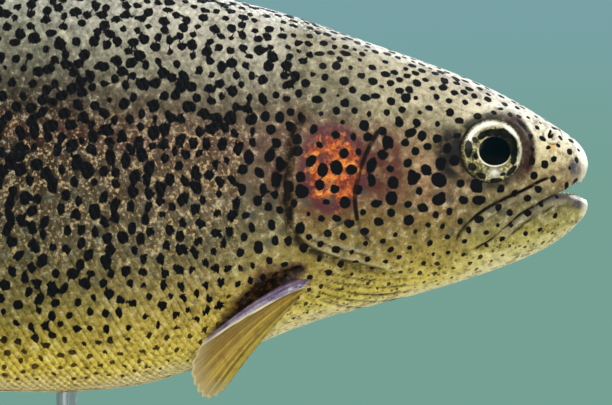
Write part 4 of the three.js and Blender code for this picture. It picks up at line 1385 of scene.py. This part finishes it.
def skinPattern(add, scaled):
    # The colours that skin and scales share, from the marks that their points carry.
    names = ["along", "level", "rust", "blush", "wine", "eyeShade", "axil", "ghost", "spot"]
    names += ["tone", "glint", "edge"] if scaled else ["lip", "flap", "pale", "dark", "inside"]
    mark = {name: add("Attribute", give="Fac", attribute_name=name) for name in names}
    along, level = mark["along"], mark["level"]
    at = add("TexCoord", give="Object")
    noise = {}
    for name, (size, detail, rough) in (skinGrain | (scaleGrain if scaled else bareGrain)).items():
        fineness = {"Scale": 1 / (size * mm), "Detail": detail, "Roughness": rough}
        noise[name] = add("TexNoise", {"Vector": at} | fineness)
    mottle, patches = noise["mottle"], noise["patches"]
    dots = add("TexVoronoi", {"Vector": at, "Scale": 1 / (stippleApart * mm)})

    # from belly to back, zone after zone: the fish's own colours together with painted light, the back and
    # the top of the head paled as if lit from above, the belly's lowest edge paled as a lit rim, and the
    # middle of the flank darkened as painted shade
    uneven = add("Math", (noise["cloud"], 0.1, add("Math", (level, -0.05), **plus)), **timesPlus)
    colour = add("ValToRGB", (uneven,), stops=skinColours["snout"])
    colour = paintOver(add, colour, [
        (add("ValToRGB", (uneven,), stops=skinColours[zone]), 1.0, mixed, (along, start, end))
        for zone, (start, end) in skinZones.items()])

    broken = add("Math", (patches, -4.0, add("Math", (mark["blush"], 2.0), **plus)), **timesPlus)
    orange = add("ValToRGB", (mottle,), stops=skinColours["orange"])
    hollow = add("Math", (patches, 2.0, add("Math", (mark["axil"], -1.0), **plus)), **timesPlus)
    layers = [
        (skinColours["mottleDark"], 0.6, shaded, (mottle, 0.46, 0.64)),
        (skinColours["mottlePale"], 0.26, mixed, (mottle, 0.47, 0.34)),
        # reddish-brown blotches over the snout and round the eye
        (skinColours["blotch"], 0.6, mixed, (patches, 0.5, 0.62), (along, 0.11, 0.06), (level, 0.38, 0.55)),
        # the rosy cheek, broken up into orange, rust and magenta patches
        (skinColours["rust"], 0.9, mixed, mark["rust"], (patches, 0.34, 0.54, 0.45, 1.0)),
        (skinColours["blushEdge"], 0.9, mixed, (mark["blush"], 0.02, 0.3), (patches, 0.36, 0.54, 0.3, 1.0)),
        (orange, 0.96, mixed, (broken, 0.4, 1.0), (mark["blush"], 0.02, 0.3)),
        (skinColours["wine"], 1.0, mixed, mark["wine"], (patches, 0.3, 0.5, 0.6, 0.95)),
        (skinColours["eyeShade"], 1.0, mixed, mark["eyeShade"], (noise["cloudlet"], 0.34, 0.52, 0.5, 0.97)),
        # painted shade in the hollow above the pectoral fin
        (skinColours["armpitShadeEdge"], 0.8, mixed, (hollow, 0.1, 0.6)),
        (skinColours["armpit"], 0.96, mixed, (hollow, 0.55, 0.95)),
        # fine dark stipple on throat and chest, in drifts
        (skinColours["stipple"], 0.85, mixed, (level, 0.27, 0.14), (along, 0.3, 0.2), (patches, 0.42, 0.56),
         (dots, 0.36, 0.24))]
    if scaled:
        # each scale a little darker or lighter than the next, with painted glints along the middle of the
        # side
        tone = add("ValToRGB", (mark["tone"],), stops=skinColours["scaleTone"])
        lit = add("Math", (mark["glint"], 0.16, noise["fleck"]), **timesPlus)
        layers += [
            (tone, 1.0, shaded, (level, 0.15, 0.4, 0.05, 0.12)),
            (skinColours["glint"], 0.6, mixed, (lit, 0.61, 0.76), (level, 0.2, 0.38), (level, 0.7, 0.58)),
            (skinColours["scaleEdge"], 0.06, shaded, mark["edge"])]
    else:
        # dusky lips, golden nostril flap, and pale marks that are painted highlights along the ridges, jaw
        # edges and the snout's rim
        layers += [
            (skinColours["lip"], 1.0, mixed, mark["lip"], (patches, 0.38, 0.55, 0.4, 1.0)),
            (skinColours["flap"], 0.9, mixed, mark["flap"], (patches, 0.38, 0.6, 0.2, 1.0)),
            (skinColours["pale"], 0.9, mixed, mark["pale"], (patches, 0.36, 0.56, 0.5, 1.0))]

    edge = mark["spot"]
    for rank in "01" if scaled else "":
        fromSpot = add("Attribute", give="Vector", attribute_name="spotFrame" + rank)
        away = add("Math", (add("VectorMath", (fromSpot,), **lengthOf), -1.0), **plus)
        size = add("Attribute", give="Fac", attribute_name="spotSize" + rank)
        edge = add("Math", (edge, add("Math", (away, size), **times)), **smaller)
    raggedness = 0.6 if scaled else 0.75
    edge = add("Math", (edge, -0.5 * raggedness), **plus)
    spot = add("Math", (noise["wobble"], raggedness, edge), **timesPlus)
    onBelly = (level, 0.15, 0.06)
    rimPaint = paintOver(add, skinColours["spotRim"], [(skinColours["bellySpot"], 1.0, mixed, onBelly)])
    spotPaint = paintOver(add, skinColours["spot"], [(skinColours["bellySpot"], 1.0, mixed, onBelly)])
    layers += [
        # faint grey spots under the clear ones
        (skinColours["ghost"], 0.6, mixed, (mark["ghost"], 0.35, -0.4), (level, 0.52, 0.42)),
        (rimPaint, 1.0, mixed, (spot, 0.22, 0.0)),
        (spotPaint, 1.0, mixed, (spot, 0.05, -0.12))]
    return paintOver(add, colour, layers), spot, mark, noise


def skinMaterial():
    # Damp fish skin: a soft, low gloss over fine pores, least on the black spots and in the hollows.
    material, surface, add, link = newMaterial(
        "dampTroutSkin", Specular_IOR_Level=0.2, Coat_Weight=0.04, Coat_Roughness=0.2)
    colour, spot, mark, noise = skinPattern(add, False)
    # painted shade in the grooves, nostril pit, lip edges and under the eye's rim, then the inside of the
    # mouth
    torn = add("MapRange", (noise["torn"], 0.34, 0.6, 0.5, 1.12), **eased)
    fold = add("Math", (mark["dark"], torn), **times)
    link(paintOver(add, colour, [
        (skinColours["fold"], 1.0, mixed, (fold, 0.06, 0.86)),
        (skinColours["mouth"], 1.0, mixed, mark["inside"])]), surface["Base Color"])
    matt = add("MapRange", (spot, 0.2, 0.0), **eased)
    for name in ("dark", "wine", "eyeShade"):
        matt = add("Math", (matt, mark[name]), **larger)
    link(add("MapRange", (matt, 0.0, 0.9, 0.4, 0.85), **eased), surface["Roughness"])
    height = add("Math", (noise["pores"], 0.5, noise["mottle"]), **timesPlus)
    link(add("Bump", {"Height": height, "Distance": 0.4 * mm, "Strength": 0.7}), surface["Normal"])
    return material


def scaleMaterial():
    # Scales: thin horn over silvery pigment, with painted glints along the middle of the side.
    material, surface, add, link = newMaterial(
        "troutScales", Specular_IOR_Level=0.18, Coat_Weight=0.04, Coat_Roughness=0.2)
    colour, spot = skinPattern(add, True)[:2]
    link(colour, surface["Base Color"])
    link(add("MapRange", (spot, 0.0, 0.2, 0.85, 0.4), **eased), surface["Roughness"])
    return material


finLooks = {
    "spottedFinWeb": {"web": "#4c4833", "ray": "#7a7556", "lead": "#545040", "tip": "#7d7966"},
    "yellowFinWeb": {"web": "#7f6a2c", "ray": "#b09848", "lead": "#8f7c4e", "tip": "#a3977a"},
    "bandedFinWeb": {"web": "#756b28", "ray": "#c9b04a", "lead": "#4d3652", "tip": "#a09a78"},
}
finMarks = {
    "streak": "#6a5c2c",
    "blotch": "#5a5030",
    "spot": "#0a0c11",
    "paleEdge": "#efe9dc",
    "lavender": [(0.36, "#4e3a5c"), (0.46, "#7d7092"), (0.58, "#a59bb6"), (0.7, "#cfc7d4")],
    "line": "#dcd2b6",
    "behindLine": "#a8803f",
    "fringe": "#d8d2b4",
    "bandEnd": 0.2,      # share of the pectoral fin's width taken by the lavender leading band
    "lineWidth": 0.03,   # the cream line behind the band
}
finGrain = {
    # mm across one patch, detail, roughness
    "cloud": (6.25, 5.0, 0.5),
    "fine": (2.08, 5.0, 0.7),
    "wrinkle": (1.11, 3.0, 0.5),    # real folds of the web are finer, drawn wide enough to show
}


def finMaterial(name):
    # Fin web stretched over horny rays: darker web, paler rays, thinning out at the ragged edge.
    material, surface, add, link = newMaterial(
        name, Roughness=0.45, Coat_Weight=0.1, Coat_Roughness=0.2, Specular_IOR_Level=0.3)
    look = finLooks[name]
    marks = ("finAcross", "finOut", "ray", "streak", "spot")
    across, out, ray, streak, spot = (add("Attribute", give="Fac", attribute_name=mark) for mark in marks)
    at = add("TexCoord", give="Object")
    cloud, fine, wrinkle = (
        add("TexNoise", {"Vector": at, "Scale": 1 / (size * mm), "Detail": detail, "Roughness": rough})
        for size, detail, rough in finGrain.values())
    onRay = add("Math", (cloud, 0.6, add("Math", (ray, 0.4), **times)), **timesPlus)
    streaks = add("Math", (fine, 0.5, streak), **timesPlus)
    layers = [
        (look["ray"], 1.0, mixed, onRay),
        (finMarks["streak"], 0.75, shaded, (streaks, 0.6, 0.95)),
        (finMarks["blotch"], 0.4, shaded, (fine, 0.5, 0.68)),
        (look["tip"], 0.8, mixed, (out, 0.8, 1.0))]
    if name == "spottedFinWeb":
        spotEdge = add("Math", (cloud, 0.5, spot), **timesPlus)
        layers += [
            (look["lead"], 0.6, mixed, (across, 0.1, 0.03)),
            (finMarks["spot"], 1.0, mixed, (spotEdge, 0.4, 0.1))]
    elif name == "yellowFinWeb":
        # a white leading edge
        layers += [
            (look["lead"], 0.6, mixed, (across, 0.1, 0.03)),
            (finMarks["paleEdge"], 0.95, mixed, (across, 0.045, 0.01))]
    else:
        # a lavender band along the leading edge, narrowing outward, with a cream line and warm web behind
        widened = add("Math", (out, 0.2, across), **timesPlus)
        band = finMarks["bandEnd"]
        line = band + finMarks["lineWidth"]
        lavender = add("ValToRGB", (fine,), stops=finMarks["lavender"])
        layers += [
            (finMarks["line"], 1.0, mixed, (widened, line + 0.02, line)),
            (lavender, 1.0, mixed, (widened, band + 0.02, band - 0.01)),
            (look["lead"], 0.75, mixed, (across, 0.06, 0.01)),
            (finMarks["behindLine"], 0.32, mixed, (widened, line, line + 0.04), (across, 0.66, 0.34)),
            (finMarks["fringe"], 0.3, mixed, (out, 0.97, 0.99))]
    link(paintOver(add, look["web"], layers), surface["Base Color"])
    link(add("Bump", {"Height": wrinkle, "Distance": 0.2 * mm, "Strength": 0.4}), surface["Normal"])
    return material


eyeLook = {
    "iris": [(0.36, "#1e211a"), (0.45, "#4e4d33"), (0.53, "#8f8761"), (0.61, "#c6bf9c"), (0.69, "#f1eedd")],
    "patch": "#060c0f",
    "paintedHighlight": "#fdfcf4",
    "outerRing": "#14110d",
    "pupilRim": "#f7f5e6",
    "pupil": "#00070d",
    "pupilRadius": 4.12,    # mm
    "ringFrom": 8.15,       # mm from the eye's middle to where the dark outer ring comes in
}
eyeGrain = {
    # mm across one patch, detail, roughness
    "fibre": (1.79, 6.0, 0.75),
    "cloud": (4.17, 3.0, 0.5),
    "torn": (0.67, 4.0, 0.7),
}


def eyeMaterial():
    # Clear cornea over a foil-like iris: a hard wet gloss on silver and gold with dark patches.
    material, surface, add, link = newMaterial(
        "glossyTroutEye", Roughness=0.3, Coat_Weight=0.1, Coat_Roughness=0.04, Specular_IOR_Level=0.04)
    marks = ("eyeRadius", "irisShade", "irisPaintedHighlight", "pupilRim")
    radius, shade, paintedHighlight, pupilRim = (add("Attribute", give="Fac", attribute_name=mark) for mark in marks)
    at = add("TexCoord", give="Object")
    fibre, cloud, torn = (
        add("TexNoise", {"Vector": at, "Scale": 1 / (size * mm), "Detail": detail, "Roughness": rough})
        for size, detail, rough in eyeGrain.values())
    tear = add("Math", (add("Math", (fibre, torn), **plus), 1.0), **minus)
    ragged = add("Math", (tear, 1.5, shade), **timesPlus)
    wavyRadius = add("Math", (tear, 3.2, radius), **timesPlus)
    iris = add("ValToRGB", (fibre,), stops=eyeLook["iris"])
    link(paintOver(add, iris, [
        (eyeLook["patch"], 0.97, mixed, (ragged, 0.3, 0.6)),
        # painted highlights on the iris, then the dark outer ring, the pupil's rim and the pupil
        (eyeLook["paintedHighlight"], 0.95, mixed, paintedHighlight, (cloud, 0.3, 0.55, 0.6, 1.0), (ragged, 0.6, 0.3)),
        (eyeLook["outerRing"], 0.92, mixed, (wavyRadius, eyeLook["ringFrom"], eyeLook["ringFrom"] + 0.7)),
        (eyeLook["pupilRim"], 1.0, mixed, pupilRim),
        (eyeLook["pupil"], 1.0, mixed, (radius, eyeLook["pupilRadius"] + 0.18, eyeLook["pupilRadius"]))]),
        surface["Base Color"])
    return material


def enamelMaterial():
    # Tooth enamel: hard and smooth, so each tooth catches one small light.
    return newMaterial("toothEnamel", Base_Color="#e9e4d2", Roughness=0.25)[0]


walnutGrain = {
    # mm across one patch along the grain and across it, detail, distortion
    "rings": ((111, 12.3, 12.3), 5.0, 0.6),
    "pores": ((16.7, 0.64, 0.64), 4.0, 0.0),    # real pores are about 0.2 mm wide, drawn wide enough to show
}
walnutColours = {
    "rings": [(0.3, "#3a2416"), (0.48, "#593a24"), (0.6, "#6b4a2f"), (0.75, "#4a2e1c")],
    "pores": "#2c1a10",
}
# mm across one drawn line and along the rod: real ones are a tenth as wide, drawn wide enough to show
drawnLines = (0.31, 0.31, 12.5)


def woodMaterial():
    # Oiled walnut: long straight grain with a low sheen.
    material, surface, add, link = newMaterial(
        "oiledWalnut", Roughness=0.42, Coat_Weight=0.15, Coat_Roughness=0.3)
    at = add("TexCoord", give="Object")
    grain = []
    for sizes, detail, distortion in walnutGrain.values():
        stretched = add("Mapping", {"Vector": at, "Scale": [1 / (size * mm) for size in sizes]})
        fineness = {"Scale": 1.0, "Detail": detail, "Distortion": distortion}
        grain.append(add("TexNoise", {"Vector": stretched} | fineness))
    rings, pores = grain
    wood = add("ValToRGB", (rings,), stops=walnutColours["rings"])
    wood = paintOver(add, wood, [(walnutColours["pores"], 0.5, mixed, (pores, 0.5, 0.7))])
    link(wood, surface["Base Color"])
    link(add("Bump", {"Height": pores, "Distance": 0.3 * mm, "Strength": 0.35}), surface["Normal"])
    return material


def steelMaterial():
    # Satin stainless rod: fine drawn lines along its length.
    material, surface, add, link = newMaterial("satinStainlessSteel", Base_Color="#b9bcc0", Metallic=1.0)
    at = add("TexCoord", give="Object")
    stretched = add("Mapping", {"Vector": at, "Scale": [1 / (size * mm) for size in drawnLines]})
    lines = add("TexNoise", {"Vector": stretched, "Scale": 1.0, "Detail": 3.0})
    link(add("MapRange", (lines, 0.3, 0.7, 0.26, 0.4), **eased), surface["Roughness"])
    return material


studio = {
    "cameraAway": 1.0,
    "frameWidth": 0.17143,    # of the plane through the fish's middle
    "aimForward": 0.111,
    "aimHeight": 0.132,
    "floor": "#b9c2c0",
    "floorRadius": 8.0,
    "pool": (0.5, 1.25),      # the pale floor gives way to the backdrop between these distances, in metres
    "backdrop": "#74a194",
    "backdropHigh": "#78a2a6",
    "world": "#e6ecec",
    "worldStrength": 0.3,
}
lamps = {
    # places, aims and sizes in metres, power in watts
    "overhead": {"at": (0.1, -0.5, 2.0), "size": (1.5, 1.2), "power": 25.0, "colour": "#fffdf6"},
    "besideCamera": {"at": (-0.5, -2.2, 0.9), "size": (1.2, 1.2), "power": 18.5, "colour": "#fffaf0"},
    "low": {"at": (0.1, -1.5, 0.1), "aim": (0.08, 0, 0.12), "size": (1.4, 0.16), "power": 12.5,
            "colour": "#fff6d2", "glossy": False},
    "ahead": {"at": (1.5, 1.3, 0.75), "aim": (0.18, 0, 0.14), "size": (0.8, 1.0), "power": 2.8,
              "colour": "#ffffff", "spread": 40},
    "behindFish": {"at": (0.12, 1.6, 1.3), "aim": (0.12, 0, 0.17), "size": (1.2, 0.6), "power": 22.0,
                   "colour": "#f0f6ff"},
}


def seenDirectly(add):
    # 1 where the ray comes from the camera, a mirror or glass, so that all show the backdrop's own colour
    seen = 0.0
    for ray in ("Is Camera Ray", "Is Glossy Ray", "Is Transmission Ray"):
        seen = add("Math", (seen, add("LightPath", give=ray)), **larger)
    return seen


def addLamp(name, at, size, power, colour, aim=(0.06, 0, 0.14), glossy=True, spread=180):
    lamp = bpy.data.lights.new(name, "AREA")
    lamp.shape = "RECTANGLE"
    lamp.size, lamp.size_y = size
    lamp.energy = power
    lamp.spread = math.radians(spread)
    lamp.color = linear(colour)[:3]
    holder = bpy.data.objects.new(name, lamp)
    holder.location = at
    holder.rotation_euler = (Vector(aim) - Vector(at)).to_track_quat("-Z", "Y").to_euler()
    holder.visible_camera = False
    holder.visible_glossy = glossy
    bpy.context.scene.collection.objects.link(holder)


def buildFloor():
    # Matt painted floor: pale under the stand, running out into the even blue-green backdrop on every side.
    material, surface, add, link = newMaterial("mattFloorPaint", Base_Color=studio["floor"], Roughness=0.9)
    nodes = material.node_tree.nodes
    away = add("VectorMath", (add("TexCoord", give="Object"),), **lengthOf)
    outside = add("MapRange", (away, *studio["pool"]), **eased)
    fade = add("Math", (outside, seenDirectly(add)), **times)
    backdrop = add("Emission", {"Color": studio["backdrop"]})
    shaders = add("MixShader", (fade, nodes["Principled BSDF"].outputs[0], backdrop))
    link(shaders, nodes["Material Output"].inputs["Surface"])
    corners = 96
    turns = np.linspace(0, 2 * math.pi, corners + 1)[:-1]
    rim = np.stack([np.cos(turns), np.sin(turns), 0 * turns], -1) * studio["floorRadius"]
    points = np.vstack([rim, [[0, 0, 0]]])
    corner = np.arange(corners)
    fan = np.stack([corner, (corner + 1) % corners, np.full(corners, corners)], -1)
    floor = makeObject("floor", points, [fan])
    floor.data.materials.append(material)


def buildWorld():
    # Soft even light all round. The camera, mirrors and glass see the backdrop's colours in its place.
    world = bpy.data.worlds.new("softStudio")
    world.use_nodes = True
    nodes = world.node_tree.nodes
    light = nodes["Background"]
    light.inputs["Color"].default_value = linear(studio["world"])
    light.inputs["Strength"].default_value = studio["worldStrength"]
    add = partial(addNode, world.node_tree)
    up = add("SeparateXYZ", (add("TexCoord", give="Generated"),), give="Z")
    sky = paintOver(add, studio["backdrop"], [(studio["backdropHigh"], 1.0, mixed, (up, 0.0, 0.06))])
    backdrop = add("Background", {"Color": sky, "Strength": 1.0})
    shaders = add("MixShader", (seenDirectly(add), light.outputs[0], backdrop))
    world.node_tree.links.new(shaders, nodes["World Output"].inputs["Surface"])
    bpy.context.scene.world = world


def addCamera():
    camera = bpy.data.cameras.new("camera")
    camera.sensor_width = 36
    camera.lens = camera.sensor_width * studio["cameraAway"] / studio["frameWidth"]
    camera.clip_start, camera.clip_end = 0.05, 20
    holder = bpy.data.objects.new("camera", camera)
    holder.location = (studio["aimForward"], -studio["cameraAway"], studio["aimHeight"])
    holder.rotation_euler = (math.pi / 2, 0, 0)
    bpy.context.scene.collection.objects.link(holder)
    bpy.context.scene.camera = holder


addCamera()
lobes, ghosts, centres = {}, {}, np.zeros((0, 3))
for side in (1, -1):
    lobes[side], centres = scatterSpots(centres * np.array([1, -1, 1]))
for side in (1, -1):
    ghosts[side] = scatterSpots(np.zeros((0, 3)))[0][::3]
print("spots", len(lobes[1]), len(lobes[-1]))
lobes = {side: np.vstack([lobes[side], mirrored(lobes[-side])]) for side in (1, -1)}
skin = buildSkin(lobes, ghosts)
skin.data.materials.append(skinMaterial())
coat = scaleMaterial()
for side in (1, -1):
    for piece in buildScales(side, lobes[side], ghosts[side]):
        piece.data.materials.append(coat)
halfGrid = skinHalf()
buildTeeth(halfGrid, reliefOnSkin(halfGrid)[0])
cornea = eyeMaterial()
for side in (1, -1):
    buildEye(side).data.materials.append(cornea)
print("teeth and eyes")
webs = {name: finMaterial(name) for name in finLooks}
for node in ("tail_fin", "dorsal_fin", "adipose_fin", "anal_fin", "pectoral_fin_right", "pectoral_fin_left",
             "pelvic_fin_right", "pelvic_fin_left"):
    buildFin(node, webs)
print("fins")

walnut, steel = woodMaterial(), steelMaterial()
for node, finish in (("stand_base", walnut), ("stand_rod_front", steel), ("stand_rod_rear", steel)):
    finishes = frame["nodes"][node].data.materials
    finishes.clear()
    finishes.append(finish)
print("stand")
buildFloor()
buildWorld()
for name, settings in lamps.items():
    addLamp(name, **settings)
bpy.context.scene.view_settings.view_transform = "Standard"
print("stage")
